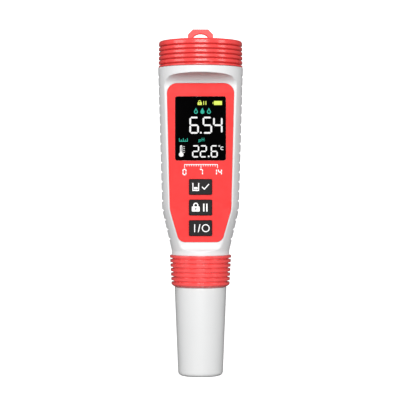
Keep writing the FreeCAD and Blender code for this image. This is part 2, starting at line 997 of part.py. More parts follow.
def electrode_tube():
    """Tube with a flange, a seal groove, a slotted guard and a wall that holds the glass."""
    step = collar_bottom - tube_shoulder
    header_seat_bottom = flange_top - header_seat
    partition_bottom = tube_tip_height + guard_depth
    partition_top = partition_bottom + partition_thickness
    outer = turned([
        (0, tube_tip_height),
        (tube_tip_radius, tube_tip_height, tube_tip_rounding),
        (tube_tip_radius, step - tube_step_height),
        (tube_radius, step),
        (tube_radius, flange_bottom),
        (flange_radius, flange_bottom),
        (flange_radius, flange_top),
        (0, flange_top),
    ])
    guard = disc(tube_bore, tube_tip_height, partition_bottom)
    chamber = disc(tube_bore, partition_top, header_seat_bottom)
    seat = disc(header_seat_radius + slide_gap, header_seat_bottom, flange_top)
    groove_half = cap_seal_radius + slide_gap
    groove_low = seal_height() - groove_half
    groove_high = seal_height() + groove_half
    seal_groove = disc(tube_radius + cut_past, groove_low, groove_high).cut(
        disc(cap_seal_ring_radius() - groove_half, groove_low, groove_high)
    )
    half_slot = slot_width / 2.0
    slot_top = tube_tip_height + slot_height - half_slot
    slot = joined([
        block(0, beyond, -half_slot, half_slot, tube_tip_height, slot_top),
        Part.makeCylinder(half_slot, beyond, point(0, 0, slot_top), point(1, 0, 0)),
    ])
    holes = [
        disc(stem_radius + slide_gap, partition_bottom, partition_top),
        disc(sensor_radius + slide_gap, partition_bottom, partition_top, 0, sensor_circle),
        disc(junction_radius + slide_gap, partition_bottom, partition_top, 0, -sensor_circle),
    ]
    tube = outer.cut([guard, chamber, seat, seal_groove])
    return tube.cut(around(slot, slot_count, 45) + holes)


def seal_height():
    return collar_bottom - cap_seal_drop


def cap_seal_ring_radius():
    """Radius of the ring's centre line, just inside the protective cap's bore."""
    return guard_cap_radius(seal_height()) - guard_cap_wall - fit - cap_seal_radius


def cap_seal():
    return seal_ring(cap_seal_ring_radius(), cap_seal_radius, seal_height())


def collar_seal():
    """Ring round the plug, squeezed between the flange and the bevel of the spigot."""
    centre_radius = plug_radius + slide_gap + collar_seal_radius
    return seal_ring(centre_radius, collar_seal_radius, flange_top + collar_seal_radius)


def electrode_header():
    """Plug on top of the tube, with a key slot down one side."""
    seat = disc(header_seat_radius, flange_top - header_seat, flange_top)
    plug = disc(plug_radius, flange_top, flange_top + plug_height)
    plug_top = flange_top + plug_height
    keyway = block(
        -keyway_width / 2.0, keyway_width / 2.0, plug_radius - keyway_depth, plug_radius + cut_past,
        flange_top + keyway_rise, plug_top
    )
    return joined([seat, plug]).cut(keyway)


def header_pins():
    top = flange_top + plug_height
    pin = disc(pin_radius, top, top + pin_height, pin_circle, 0)
    tip = Part.makeCone(
        pin_radius, pin_radius / 2.0, pin_tip_height, point(pin_circle, 0, top + pin_height)
    )
    return Part.makeCompound(around(joined([pin, tip]), pin_count, 90))


def glass_bulb():
    """Thin glass: a bulb blown on the end of a straight stem, closed at the top."""
    stem_top = tube_tip_height + guard_depth + stem_height

    def blown(inset):
        bulb = Part.makeSphere(bulb_radius - inset, point(0, 0, bulb_centre))
        stem = disc(stem_radius - inset, bulb_centre, stem_top)
        return joined([bulb, stem])

    return blown(0).cut(blown(glass_wall))


def silver_wire():
    """Wire that hangs from the header down the glass stem into the bulb."""
    return disc(wire_radius, bulb_centre, flange_top - header_seat)


def temperature_sensor():
    """Steel pin through the wall beside the glass, with a domed tip."""
    partition_bottom = tube_tip_height + guard_depth
    tip = partition_bottom - sensor_tip
    pin = disc(sensor_radius, tip, tip + sensor_height, 0, sensor_circle)
    dome = Part.makeSphere(sensor_radius, point(0, sensor_circle, tip))
    return joined([pin, dome])


def reference_junction():
    bottom = tube_tip_height + guard_depth - junction_out
    return disc(junction_radius, bottom, bottom + junction_height, 0, -sensor_circle)


def electrode_socket():
    """Insulator in the spigot, with a bore for each pin and a flange on the floor above."""
    top = body_bottom + neck_height
    bottom = flange_top + plug_height + fit
    plug = disc(spigot_bore - fit, bottom, top)
    flange = disc(neck_radius - wall - 3 * fit, top + fit, socket_top).fuse(
        disc(spigot_bore - fit, top, top + fit)
    )
    depth = bottom + pin_height + pin_tip_height + fit
    bore = disc(pin_radius + slide_gap, bottom, depth, pin_circle, 0)
    behind = block(-beyond, beyond, inner_face + tray_gap, beyond, bottom, socket_top)
    return joined([plug, flange.common(behind)]).cut(around(bore, pin_count, 90))


def socket_contacts():
    """Tails of the socket's contacts, which stand behind the board's lower edge."""
    contacts = []
    first = -(socket_contact_count - 1) * socket_contact_pitch / 2.0
    y = board_back + fit + socket_contact_radius
    for index in range(socket_contact_count):
        x = first + index * socket_contact_pitch
        contacts.append(disc(socket_contact_radius, socket_top, board_bottom + socket_contact_rise, x, y))
    return Part.makeCompound(contacts)


os.makedirs("parts", exist_ok=True)

front_half, rear_half = shells()
save("front_shell", front_half)
save("rear_shell", rear_half)
save("face_plate", face_plate())
save("display_window", display_window())
save("display_panel", display_panel())
save("display_backlight", display_backlight())
save("display_connector", display_connector())
save("circuit_board", circuit_board())
save("board_screws", board_screws())
save("control_chip", control_chip())
save("board_parts", board_parts())
save("button_switches", button_switches())
for key_name, key_centre in zip(key_names, key_centres):
    save(key_name + "_button", key(key_centre))
    save(key_name + "_plunger", plunger(key_centre))
save("battery_tray", battery_tray())
save("battery_cells", battery_cells())
save("plate_contact", plate_contact())
save("spring_contact", spring_contact())
save("battery_cap", battery_cap())
save("cap_gasket", cap_gasket())
save("collar", collar())
save("collar_seal", collar_seal())
save("electrode_socket", electrode_socket())
save("socket_contacts", socket_contacts())
save("electrode_tube", electrode_tube())
save("electrode_header", electrode_header())
save("header_pins", header_pins())
save("glass_bulb", glass_bulb())
save("silver_wire", silver_wire())
save("temperature_sensor", temperature_sensor())
save("reference_junction", reference_junction())
save("cap_seal", cap_seal())
save("protective_cap", protective_cap())
save("soaking_sponge", soaking_sponge())
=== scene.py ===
import json
import math

import bmesh
import bpy
from mathutils import Matrix, Vector


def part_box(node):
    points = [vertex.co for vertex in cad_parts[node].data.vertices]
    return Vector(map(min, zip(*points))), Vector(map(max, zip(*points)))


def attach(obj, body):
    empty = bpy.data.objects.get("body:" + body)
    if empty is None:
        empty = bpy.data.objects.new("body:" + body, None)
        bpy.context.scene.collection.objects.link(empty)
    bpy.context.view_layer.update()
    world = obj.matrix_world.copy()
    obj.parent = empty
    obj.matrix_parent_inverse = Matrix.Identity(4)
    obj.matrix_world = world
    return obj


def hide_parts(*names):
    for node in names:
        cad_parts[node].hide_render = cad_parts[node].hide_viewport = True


# pH meter pen, standing on its protective cap.
# Lengths in this script are millimetres and are turned into metres when a mesh is made.

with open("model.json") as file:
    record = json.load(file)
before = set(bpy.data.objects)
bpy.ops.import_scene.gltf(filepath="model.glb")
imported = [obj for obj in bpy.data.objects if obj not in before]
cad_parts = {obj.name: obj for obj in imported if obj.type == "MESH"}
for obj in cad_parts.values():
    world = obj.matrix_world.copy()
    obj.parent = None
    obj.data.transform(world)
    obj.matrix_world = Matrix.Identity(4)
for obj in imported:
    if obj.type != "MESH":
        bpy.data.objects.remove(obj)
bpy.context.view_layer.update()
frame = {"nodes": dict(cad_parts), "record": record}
nodes = frame["nodes"]
mm = 0.001
scene = bpy.context.scene


def lowMm(node):
    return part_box(node)[0] / mm


def highMm(node):
    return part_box(node)[1] / mm


def placed(name, data):
    # new object with this data, in the scene
    thing = bpy.data.objects.new(name, data)
    scene.collection.objects.link(thing)
    return thing


seam = 0.2                                      # gap between the outer pieces
collarTop = highMm("collar").z
bodyBottom = collarTop + seam / 2
shoulder = lowMm("battery_cap").z - seam
plateFront = lowMm("face_plate").y
lensFront = lowMm("display_window").y

print("stage: camera")

cameraSetup = {
    "distance": 740.0,                          # from the pen's axis
    "height": 95.1,
    "sideways": -0.27,
    "lens": 133.2,
    "shiftY": -0.03825,
}


def addCamera(values):
    data = bpy.data.cameras.new("viewCamera")
    data.lens = values["lens"]
    data.sensor_width = 36.0
    data.shift_y = values["shiftY"]
    data.clip_start = 0.01
    camera = placed("viewCamera", data)
    camera.location = Vector((values["sideways"], -values["distance"], values["height"])) * mm
    camera.rotation_euler = (math.radians(90), 0, 0)
    scene.camera = camera


addCamera(cameraSetup)
scene.view_settings.view_transform = "Standard"
scene.view_settings.look = "None"

print("stage: materials")


def socketNames(tree, direction, rows):
    for name, kind in rows:
        tree.interface.new_socket(name, in_out=direction, socket_type="NodeSocket" + kind)


def mathNode(tree, operation, *values):
    node = tree.nodes.new("ShaderNodeMath")
    node.operation = operation
    for index, value in enumerate(values):
        if isinstance(value, (int, float)):
            node.inputs[index].default_value = value
        else:
            tree.links.new(value, node.inputs[index])
    return node.outputs[0]


def mixColour(tree, factor, first, second, blend="MIX"):
    node = tree.nodes.new("ShaderNodeMix")
    node.data_type = "RGBA"
    node.blend_type = blend
    for index, value in ((0, factor), (6, first), (7, second)):
        if hasattr(value, "is_linked"):
            tree.links.new(value, node.inputs[index])
        else:
            node.inputs[index].default_value = value
    return node.outputs[2]


def noiseNode(tree, vector, scale, detail=3.0, roughness=0.5):
    node = tree.nodes.new("ShaderNodeTexNoise")
    node.inputs["Scale"].default_value = scale
    node.inputs["Detail"].default_value = detail
    node.inputs["Roughness"].default_value = roughness
    tree.links.new(vector, node.inputs["Vector"])
    return node.outputs["Fac"]


def rangeNode(tree, value, low, high, newLow=0.0, newHigh=1.0):
    node = tree.nodes.new("ShaderNodeMapRange")
    tree.links.new(value, node.inputs["Value"])
    node.inputs["From Min"].default_value = low
    node.inputs["From Max"].default_value = high
    node.inputs["To Min"].default_value = newLow
    node.inputs["To Max"].default_value = newHigh
    return node.outputs["Result"]


def groupEnds(tree):
    return tree.nodes.new("NodeGroupInput"), tree.nodes.new("NodeGroupOutput")


skinPattern = {                                 # scales are in cells to a metre
    "cloudScale": 90.0,
    "cloudRange": (0.35, 0.65),
    "speckScale": 2600.0,
    "speckRange": (0.62, 0.74),
    "speckShare": 0.25,
    "grainScale": 1900.0,
}


def mouldedSkinGroup():
    # fine spark-eroded grain, cloudy colour and a slow change of gloss
    tree = bpy.data.node_groups.new("mouldedSkin", "ShaderNodeTree")
    socketNames(tree, "INPUT", [
        ("Vector", "Vector"), ("Colour", "Color"), ("Cloud Colour", "Color"), ("Cloud", "Float"),
        ("Roughness", "Float"), ("Roughness Spread", "Float"), ("Grain", "Float"),
    ])
    socketNames(tree, "OUTPUT", [("Colour", "Color"), ("Roughness", "Float"), ("Height", "Float")])
    start, end = groupEnds(tree)
    vector = start.outputs["Vector"]
    cloud = noiseNode(tree, vector, skinPattern["cloudScale"], 4.0)
    cloud = rangeNode(tree, cloud, *skinPattern["cloudRange"])
    speck = noiseNode(tree, vector, skinPattern["speckScale"], 1.0)
    speck = rangeNode(tree, speck, *skinPattern["speckRange"])
    grain = noiseNode(tree, vector, skinPattern["grainScale"], 2.0)
    colour = mixColour(
        tree, mathNode(tree, "MULTIPLY", cloud, start.outputs["Cloud"]),
        start.outputs["Colour"], start.outputs["Cloud Colour"]
    )
    speckShare = mathNode(tree, "MULTIPLY", start.outputs["Cloud"], skinPattern["speckShare"])
    speckShare = mathNode(tree, "MULTIPLY", speck, speckShare)
    colour = mixColour(tree, speckShare, colour, start.outputs["Cloud Colour"])
    spread = mathNode(tree, "SUBTRACT", cloud, 0.5)
    spread = mathNode(tree, "MULTIPLY", spread, start.outputs["Roughness Spread"])
    roughness = mathNode(tree, "ADD", start.outputs["Roughness"], spread)
    tree.links.new(colour, end.inputs["Colour"])
    tree.links.new(roughness, end.inputs["Roughness"])
    tree.links.new(mathNode(tree, "MULTIPLY", grain, start.outputs["Grain"]), end.inputs["Height"])
    return tree


wearAndLightPattern = {
    "patchScale": 260.0,
    "rubbedLitEdge": (0.51, 0.60),                     # pointiness at which an edge begins and is full
    # pointiness at which the painted shade of hollows begins and is full
    "shadedHollow": (0.495, 0.44),
}


def wearAndLightGroup():
    # edges lighter in patches, partly rubbed wear and partly painted highlight; hollows darker by painted
    # shade
    tree = bpy.data.node_groups.new("wearAndLight", "ShaderNodeTree")
    socketNames(tree, "INPUT", [
        ("Vector", "Vector"), ("Colour", "Color"), ("Worn Lit Edge Colour", "Color"), ("Hollow Shade Colour", "Color"),
        ("Edge", "Float"), ("Hollow", "Float"),
    ])
    socketNames(tree, "OUTPUT", [("Colour", "Color")])
    start, end = groupEnds(tree)
    pointiness = tree.nodes.new("ShaderNodeNewGeometry").outputs["Pointiness"]
    patches = noiseNode(tree, start.outputs["Vector"], wearAndLightPattern["patchScale"])
    rubbedLitEdge = rangeNode(tree, pointiness, *wearAndLightPattern["rubbedLitEdge"])
    shadedHollow = rangeNode(tree, pointiness, *wearAndLightPattern["shadedHollow"])
    edge = mathNode(tree, "MULTIPLY", rubbedLitEdge, mathNode(tree, "MULTIPLY", patches, start.outputs["Edge"]))
    hollow = mathNode(tree, "MULTIPLY", shadedHollow, start.outputs["Hollow"])
    colour = mixColour(tree, edge, start.outputs["Colour"], start.outputs["Worn Lit Edge Colour"])
    colour = mixColour(tree, hollow, colour, start.outputs["Hollow Shade Colour"])
    tree.links.new(colour, end.inputs["Colour"])
    return tree


mouldedSkin = mouldedSkinGroup()
wearAndLight = wearAndLightGroup()


def shaded(colour, share):
    return tuple(channel * share for channel in colour[:3]) + (1.0,)


def tinted(colour, share):
    return tuple(channel + (1.0 - channel) * share for channel in colour[:3]) + (1.0,)


def newMaterial(name):
    material = bpy.data.materials.new(name)
    material.use_nodes = True
    tree = material.node_tree
    place = tree.nodes.new("ShaderNodeTexCoord").outputs["Object"]
    return material, tree, tree.nodes["Principled BSDF"], place


def dress(tree, shader, tinge, rough, height, distance):
    # colour, roughness and relief of a shader
    tree.links.new(tinge, shader.inputs["Base Color"])
    tree.links.new(rough, shader.inputs["Roughness"])
    bump = tree.nodes.new("ShaderNodeBump")
    bump.inputs["Distance"].default_value = distance
    bump.inputs["Strength"].default_value = 1.0
    tree.links.new(height, bump.inputs["Height"])
    tree.links.new(bump.outputs["Normal"], shader.inputs["Normal"])


def mouldedMaterial(name, look):
    # moulded plastic or rubber; the look gives what differs from a plain satin one
    material, tree, shader, place = newMaterial(name)
    colour = tuple(look["colour"]) + (1.0,)
    skin = tree.nodes.new("ShaderNodeGroup")
    skin.node_tree = mouldedSkin
    tree.links.new(place, skin.inputs["Vector"])
    skin.inputs["Colour"].default_value = colour
    skin.inputs["Cloud Colour"].default_value = shaded(colour, look.get("cloudShade", 0.93))
    skin.inputs["Cloud"].default_value = 0.6
    skin.inputs["Roughness"].default_value = look["roughness"]
    skin.inputs["Roughness Spread"].default_value = look.get("spread", 0.08)
    skin.inputs["Grain"].default_value = look.get("grain", 0.6)
    tinge = skin.outputs["Colour"]
    # rubbed wear and painted highlight on edges, painted shade in hollows
    if look.get("wearAndLightOn"):
        wearShadeNode = tree.nodes.new("ShaderNodeGroup")
        wearShadeNode.node_tree = wearAndLight
        tree.links.new(place, wearShadeNode.inputs["Vector"])
        tree.links.new(tinge, wearShadeNode.inputs["Colour"])
        wearShadeNode.inputs["Worn Lit Edge Colour"].default_value = tinted(colour, look.get("edgeTint", 0.25))
        wearShadeNode.inputs["Hollow Shade Colour"].default_value = shaded(colour, look.get("hollowShade", 0.55))
        wearShadeNode.inputs["Edge"].default_value = look.get("edge", 0.5)
        wearShadeNode.inputs["Hollow"].default_value = look.get("hollow", 0.6)
        tinge = wearShadeNode.outputs["Colour"]
    rough = skin.outputs["Roughness"]
    shader.inputs["Specular IOR Level"].default_value = look.get("specular", 0.5)
    if "coat" in look:
        shader.inputs["Coat Weight"].default_value = look["coat"]
        shader.inputs["Coat Roughness"].default_value = look.get("coatRoughness", 0.2)
    if "mattAbove" in look:
        # a lug above this height is matt
        height = tree.nodes.new("ShaderNodeSeparateXYZ")
        tree.links.new(place, height.inputs[0])
        matt = rangeNode(tree, height.outputs["Z"], look["mattAbove"], look["mattAbove"] + 0.0003)
        rough = mathNode(tree, "ADD", rough, mathNode(tree, "MULTIPLY", matt, look["mattRoughness"]))
        coat = mathNode(tree, "MULTIPLY", mathNode(tree, "SUBTRACT", 1.0, matt), look["coat"])
        tree.links.new(coat, shader.inputs["Coat Weight"])
    dress(tree, shader, tinge, rough, skin.outputs["Height"], look.get("bump", 0.00002))
    if "glow" in look:
        shader.inputs["Emission Color"].default_value = tuple(look["glow"]) + (1.0,)
        shader.inputs["Emission Strength"].default_value = look.get("glowStrength", 1.0)
    return material


metalPattern = {
    "streakScale": 700.0,
    "streakRange": (0.3, 0.7),
    "streakShade": 0.82,
    "roughnessSpread": (-0.06, 0.08),
    "streakDepth": 0.000008,
}


def metalMaterial(name, look):
    # drawn or turned metal: streaks that follow one direction, and fine scratches
    material, tree, shader, place = newMaterial(name)
    mapping = tree.nodes.new("ShaderNodeMapping")
    mapping.inputs["Scale"].default_value = look.get("stretch", (1.0, 1.0, 14.0))
    tree.links.new(place, mapping.inputs["Vector"])
    streaks = noiseNode(tree, mapping.outputs["Vector"], metalPattern["streakScale"])
    colour = tuple(look["colour"]) + (1.0,)
    share = rangeNode(tree, streaks, *metalPattern["streakRange"])
    tinge = mixColour(tree, share, colour, shaded(colour, metalPattern["streakShade"]))
    limits = [look["roughness"] + change for change in metalPattern["roughnessSpread"]]
    rough = rangeNode(tree, streaks, *metalPattern["streakRange"], *limits)
    shader.inputs["Metallic"].default_value = 1.0
    dress(tree, shader, tinge, rough, streaks, metalPattern["streakDepth"])
    return material


boardPattern = {
    "trackScale": 420.0,
    "trackEdge": (0.34, 0.38),
    "trackTint": 0.16,
    "trackDepth": 0.00003,
    "hazeScale": 300.0,
    "roughness": (0.3, 0.42),
}


def boardMaterial(name, look):
    # solder mask over a lattice of copper tracks
    material, tree, shader, place = newMaterial(name)
    cells = tree.nodes.new("ShaderNodeTexVoronoi")
    cells.distance = "MANHATTAN"
    cells.feature = "F1"
    cells.inputs["Scale"].default_value = boardPattern["trackScale"]
    tree.links.new(place, cells.inputs["Vector"])
    track = rangeNode(tree, cells.outputs["Distance"], *boardPattern["trackEdge"])
    colour = tuple(look["colour"]) + (1.0,)
    tinge = mixColour(tree, track, colour, tinted(colour, boardPattern["trackTint"]))
    haze = noiseNode(tree, place, boardPattern["hazeScale"])
    rough = rangeNode(tree, haze, 0.3, 0.7, *boardPattern["roughness"])
    dress(tree, shader, tinge, rough, track, boardPattern["trackDepth"])
    return material


spongePattern = {
    "poreScale": 1500.0,
    "poreRange": (0.1, 0.6),
    "poreShade": 0.5,
    "poreDepth": 0.0002,
    "roughness": (0.75, 0.95),
}


def spongeMaterial(name, look):
    # open pores, with painted shade in their depth
    material, tree, shader, place = newMaterial(name)
    pores = tree.nodes.new("ShaderNodeTexVoronoi")
    pores.inputs["Scale"].default_value = spongePattern["poreScale"]
    tree.links.new(place, pores.inputs["Vector"])
    distance = pores.outputs["Distance"]
    depth = rangeNode(tree, distance, *spongePattern["poreRange"])
    colour = tuple(look["colour"]) + (1.0,)
    tinge = mixColour(tree, depth, shaded(colour, spongePattern["poreShade"]), colour)
    rough = rangeNode(tree, distance, *spongePattern["poreRange"], *spongePattern["roughness"])
    dress(tree, shader, tinge, rough, depth, spongePattern["poreDepth"])
    return material


def glassMaterial(name, look):
    # clear or frosted, with a faint haze
    material, tree, shader, place = newMaterial(name)
    haze = noiseNode(tree, place, 240.0)
    colour = tuple(look["colour"]) + (1.0,)
    tinge = mixColour(tree, rangeNode(tree, haze, 0.3, 0.7), colour, shaded(colour, 0.94))
    tree.links.new(tinge, shader.inputs["Base Color"])
    rough = rangeNode(tree, haze, 0.3, 0.7, look["roughness"], look["roughness"] + 0.05)
    tree.links.new(rough, shader.inputs["Roughness"])
    shader.inputs["Transmission Weight"].default_value = look["transmission"]
    shader.inputs["IOR"].default_value = 1.47
    return material


# edge and hollow values set a painted highlight on edges and painted shade in hollows
looks = {
    "white_shell": (mouldedMaterial, {
        "colour": (0.75, 0.75, 0.755), "roughness": 0.42, "cloudShade": 0.97, "grain": 0.8,
        "bump": 0.000012, "wearAndLightOn": True, "edge": 0.5, "edgeTint": 0.5, "hollow": 0.45,
        "hollowShade": 0.7, "specular": 0.2}),
    "red_plate": (mouldedMaterial, {
        "colour": (0.86, 0.030, 0.029), "roughness": 0.48, "cloudShade": 0.96, "grain": 0.5,
        "bump": 0.000008, "wearAndLightOn": True, "edgeTint": 0.3, "specular": 0.15}),
    # the cap's grooves get deep painted shade and its ridge edges a painted highlight
    "red_ring": (mouldedMaterial, {
        "colour": (0.90, 0.058, 0.056), "roughness": 0.26, "cloudShade": 0.9, "grain": 0.35,
        "bump": 0.000008, "wearAndLightOn": True, "edge": 0.7, "edgeTint": 0.3, "hollow": 1.0,
        "hollowShade": 0.25, "specular": 0.5, "coat": 0.4, "coatRoughness": 0.16,
        "mattAbove": (lowMm("battery_cap").z + 13.5) * mm, "mattRoughness": 0.22}),
    "red_collar": (mouldedMaterial, {
        "colour": (0.98, 0.085, 0.085), "roughness": 0.26, "cloudShade": 0.94, "grain": 0.35,
        "bump": 0.000008, "wearAndLightOn": True, "edge": 0.6, "edgeTint": 0.3, "hollow": 0.15,
        "hollowShade": 0.5, "specular": 0.6, "coat": 0.6, "coatRoughness": 0.14}),
    "black_lens": (mouldedMaterial, {
        "colour": (0.0004, 0.0004, 0.0005), "roughness": 0.06, "spread": 0.02, "grain": 0.0,
        "specular": 0.03}),
    "panel_glass": (glassMaterial, {
        "colour": (0.5, 0.55, 0.55), "roughness": 0.04, "transmission": 0.6}),
    "backlight_white": (mouldedMaterial, {"colour": (0.85, 0.86, 0.84), "roughness": 0.5}),
    "grey_rubber": (mouldedMaterial, {"colour": (0.3, 0.3, 0.3), "roughness": 0.75, "grain": 1.0}),
    "board_green": (boardMaterial, {"colour": (0.01, 0.17, 0.06)}),
    "screw_steel": (metalMaterial, {"colour": (0.62, 0.62, 0.63), "roughness": 0.3}),
    "chip_black": (mouldedMaterial, {"colour": (0.018, 0.018, 0.019), "roughness": 0.55, "grain": 1.0}),
    "key_grey": (mouldedMaterial, {
        "colour": (0.013, 0.012, 0.0125), "roughness": 0.55, "cloudShade": 0.8, "grain": 1.0,
        "bump": 0.00003, "wearAndLightOn": True, "edge": 0.5, "edgeTint": 0.08, "specular": 0.14}),
    "plunger_white": (mouldedMaterial, {"colour": (0.8, 0.8, 0.78), "roughness": 0.4}),
    "tray_black": (mouldedMaterial, {
        "colour": (0.025, 0.025, 0.027), "roughness": 0.45, "grain": 0.9, "bump": 0.00003}),
    "cell_steel": (metalMaterial, {
        "colour": (0.75, 0.75, 0.73), "roughness": 0.22, "stretch": (14.0, 1.0, 1.0)}),
    "contact_nickel": (metalMaterial, {"colour": (0.68, 0.66, 0.6), "roughness": 0.28}),
    "black_rubber": (mouldedMaterial, {
        "colour": (0.016, 0.016, 0.017), "roughness": 0.5, "grain": 0.6, "specular": 0.5}),
    "pin_gold": (metalMaterial, {"colour": (0.86, 0.62, 0.24), "roughness": 0.2}),
    "clear_glass": (glassMaterial, {
        "colour": (0.93, 0.96, 0.95), "roughness": 0.01, "transmission": 1.0}),
    "white_ceramic": (mouldedMaterial, {
        "colour": (0.84, 0.83, 0.79), "roughness": 0.85, "grain": 1.6, "bump": 0.00005}),
    "grey_cap": (mouldedMaterial, {
        "colour": (0.76, 0.765, 0.765), "roughness": 0.24, "spread": 0.015, "cloudShade": 0.985,
        "grain": 0.3, "bump": 0.000008, "wearAndLightOn": True, "edge": 0.5, "edgeTint": 0.4, "specular": 0.5,
        "coat": 0.4, "coatRoughness": 0.12}),
    "sponge_yellow": (spongeMaterial, {"colour": (0.82, 0.7, 0.34)}),
    # the white print is given a faint painted glow, though it is no lamp
    "print_white": (mouldedMaterial, {
        "colour": (0.92, 0.92, 0.92), "roughness": 0.6, "cloudShade": 0.95, "grain": 0.4,
        "specular": 0.2, "glow": (1, 1, 1), "glowStrength": 0.12}),
    "screen_white": (mouldedMaterial, {
        "colour": (0.3, 0.3, 0.3), "roughness": 0.3, "cloudShade": 0.96, "specular": 0.15,
        "glow": (1, 1, 1), "glowStrength": 0.58}),
    "screen_teal": (mouldedMaterial, {
        "colour": (0.002, 0.11, 0.08), "roughness": 0.3, "cloudShade": 0.9, "specular": 0.1,
        "glow": (0.008, 0.32, 0.225)}),
    "screen_yellow": (mouldedMaterial, {
        "colour": (0.24, 0.28, 0.03), "roughness": 0.3, "cloudShade": 0.95, "specular": 0.15,
        "glow": (0.48, 0.58, 0.07)}),
}
finish = {}
for slotName, (maker, look) in looks.items():
    finish[slotName] = maker(slotName, look)

slotOfNode = {row["node"]: row["material_slot"] for row in frame["record"]["subparts"]}
for nodeName, node in nodes.items():
    node.data.materials.clear()
    node.data.materials.append(finish[slotOfNode[nodeName]])

print("stage: studio")

studio = {
    "worldStrength": 0.30,
    "paperGlow": 0.75,                          # of the paper as the camera sees it
    "paperColour": (0.93, 0.93, 0.93, 1),
    "paperBounce": (0.21, 0.21, 0.21, 1),       # of the paper as the pen sees it
    "floorWidth": 3600.0,
    "floorFront": -1800.0,
    "floorBack": 900.0,
    "backdropHeight": 2400.0,
    "backdropBend": 500.0,
    "lights": [                                 # name, place, aim, width, height, watts
        ("frontBox", (30, -1050, 583), (0, 0, 110), 640, 753, 8.7),
        ("lowLeft", (-150, -1050, 135), (0, 0, 60), 200, 230, 1.2),
        ("lowRight", (170, -1050, 135), (0, 0, 60), 240, 230, 1.4),
        ("leftBox", (-800, -470, 330), (0, 0, 110), 500, 640, 3.2),
        ("rightBox", (820, -470, 330), (0, 0, 110), 320, 640, 2.3),
    ],
}


def addLight(name, place, aim, width, height, watts):
    data = bpy.data.lights.new(name, "AREA")
    data.shape = "RECTANGLE"
    data.size = width * mm
    data.size_y = height * mm
    data.energy = watts
    light = placed(name, data)
    light.location = Vector(place) * mm
    towards = (Vector(aim) - Vector(place)).normalized()
    light.rotation_euler = towards.to_track_quat("-Z", "Y").to_euler()


def addStudio(values):
    world = bpy.data.worlds.new("studioWorld")
    world.use_nodes = True
    background = world.node_tree.nodes["Background"]
    background.inputs["Color"].default_value = (1, 1, 1, 1)
    background.inputs["Strength"].default_value = values["worldStrength"]
    scene.world = world
    for row in values["lights"]:
        addLight(*row)
    bend = values["backdropBend"]
    back = values["floorBack"]
    half = values["floorWidth"] / 2
    path = [(values["floorFront"], 0.0), (back - bend, 0.0)]
    bendSteps = 16
    for step in range(1, bendSteps):
        turn = math.radians(90) * step / bendSteps
        path.append((back - bend + bend * math.sin(turn), bend - bend * math.cos(turn)))
    path.append((back, bend))
    path.append((back, values["backdropHeight"]))
    verts = []
    for y, z in path:
        verts.append(Vector((-half, y, z)) * mm)
        verts.append(Vector((half, y, z)) * mm)
    faces = [(2 * i, 2 * i + 1, 2 * i + 3, 2 * i + 2) for i in range(len(path) - 1)]
    mesh = bpy.data.meshes.new("paperSweep")
    mesh.from_pydata(verts, [], faces)
    for polygon in mesh.polygons:
        polygon.use_smooth = True
    sweep = placed("paperSweep", mesh)
    paper = bpy.data.materials.new("studioPaper")
    paper.use_nodes = True
    tree = paper.node_tree
    shader = tree.nodes["Principled BSDF"]
    seen = tree.nodes.new("ShaderNodeLightPath").outputs["Is Camera Ray"]
    colour = mixColour(tree, seen, values["paperBounce"], values["paperColour"])
    tree.links.new(colour, shader.inputs["Base Color"])
    glow = mathNode(tree, "MULTIPLY", seen, values["paperGlow"])
    tree.links.new(glow, shader.inputs["Emission Strength"])
    shader.inputs["Roughness"].default_value = 0.9
    shader.inputs["Specular IOR Level"].default_value = 0.0
    shader.inputs["Emission Color"].default_value = (1, 1, 1, 1)
    mesh.materials.append(paper)


addStudio(studio)

print("stage: shape helpers")


def between(low, high, share):
    return low + (high - low) * share


def smoothMin(first, second, blend):
    # the smaller of two lengths, with a rounded change from one to the other
    near = max(blend - abs(first - second), 0.0) / blend
    return min(first, second) - near * near * blend / 4


def roundedPath(corners, steps=6, closed=False):
    # corners are (a, b) or (a, b, rounding)
    points = []
    count = len(corners)
    for index, corner in enumerate(corners):
        here = Vector(corner[:2])
        rounding = corner[2] if len(corner) > 2 else 0
        if not rounding or (not closed and index in (0, count - 1)):
            points.append(here)
            continue
        back = Vector(corners[index - 1][:2]) - here
        ahead = Vector(corners[(index + 1) % count][:2]) - here
        half = back.angle(ahead) / 2
        reach = min(rounding / math.tan(half), 0.49 * back.length, 0.49 * ahead.length)
        radius = reach * math.tan(half)
        bisector = (back.normalized() + ahead.normalized()).normalized()
        centre = here + bisector * (radius / math.sin(half))
        first = here + back.normalized() * reach - centre
        last = here + ahead.normalized() * reach - centre
        turn = math.atan2(first.x * last.y - first.y * last.x, first.dot(last))
        for step in range(steps + 1):
            points.append(centre + Matrix.Rotation(turn * step / steps, 2) @ first)
    return points


def dividedPath(points, step, low, high):
    # extra points on the stretches of a closed (radius, height) path that lie between two heights
    result = []
    count = len(points)
    for index, here in enumerate(points):
        result.append(here)
        ahead = points[(index + 1) % count]
        if min(here.y, ahead.y) < low - step or max(here.y, ahead.y) > high + step:
            continue
        parts = int((ahead - here).length / step)
        for part in range(1, parts):
            result.append(here.lerp(ahead, part / parts))
    return result


def smoothShade(mesh, angle=32.0):
    for polygon in mesh.polygons:
        polygon.use_smooth = True
    mesh.set_sharp_from_angle(angle=math.radians(angle))


def newPiece(name, verts, faces, material, angle=32.0):
    mesh = bpy.data.meshes.new(name)
    mesh.from_pydata([Vector(vert) * mm for vert in verts], [], faces)
    shape = bmesh.new()
    shape.from_mesh(mesh)
    bmesh.ops.recalc_face_normals(shape, faces=shape.faces)
    shape.to_mesh(mesh)
    shape.free()
    smoothShade(mesh, angle)
    mesh.materials.append(material)
    return placed(name, mesh)


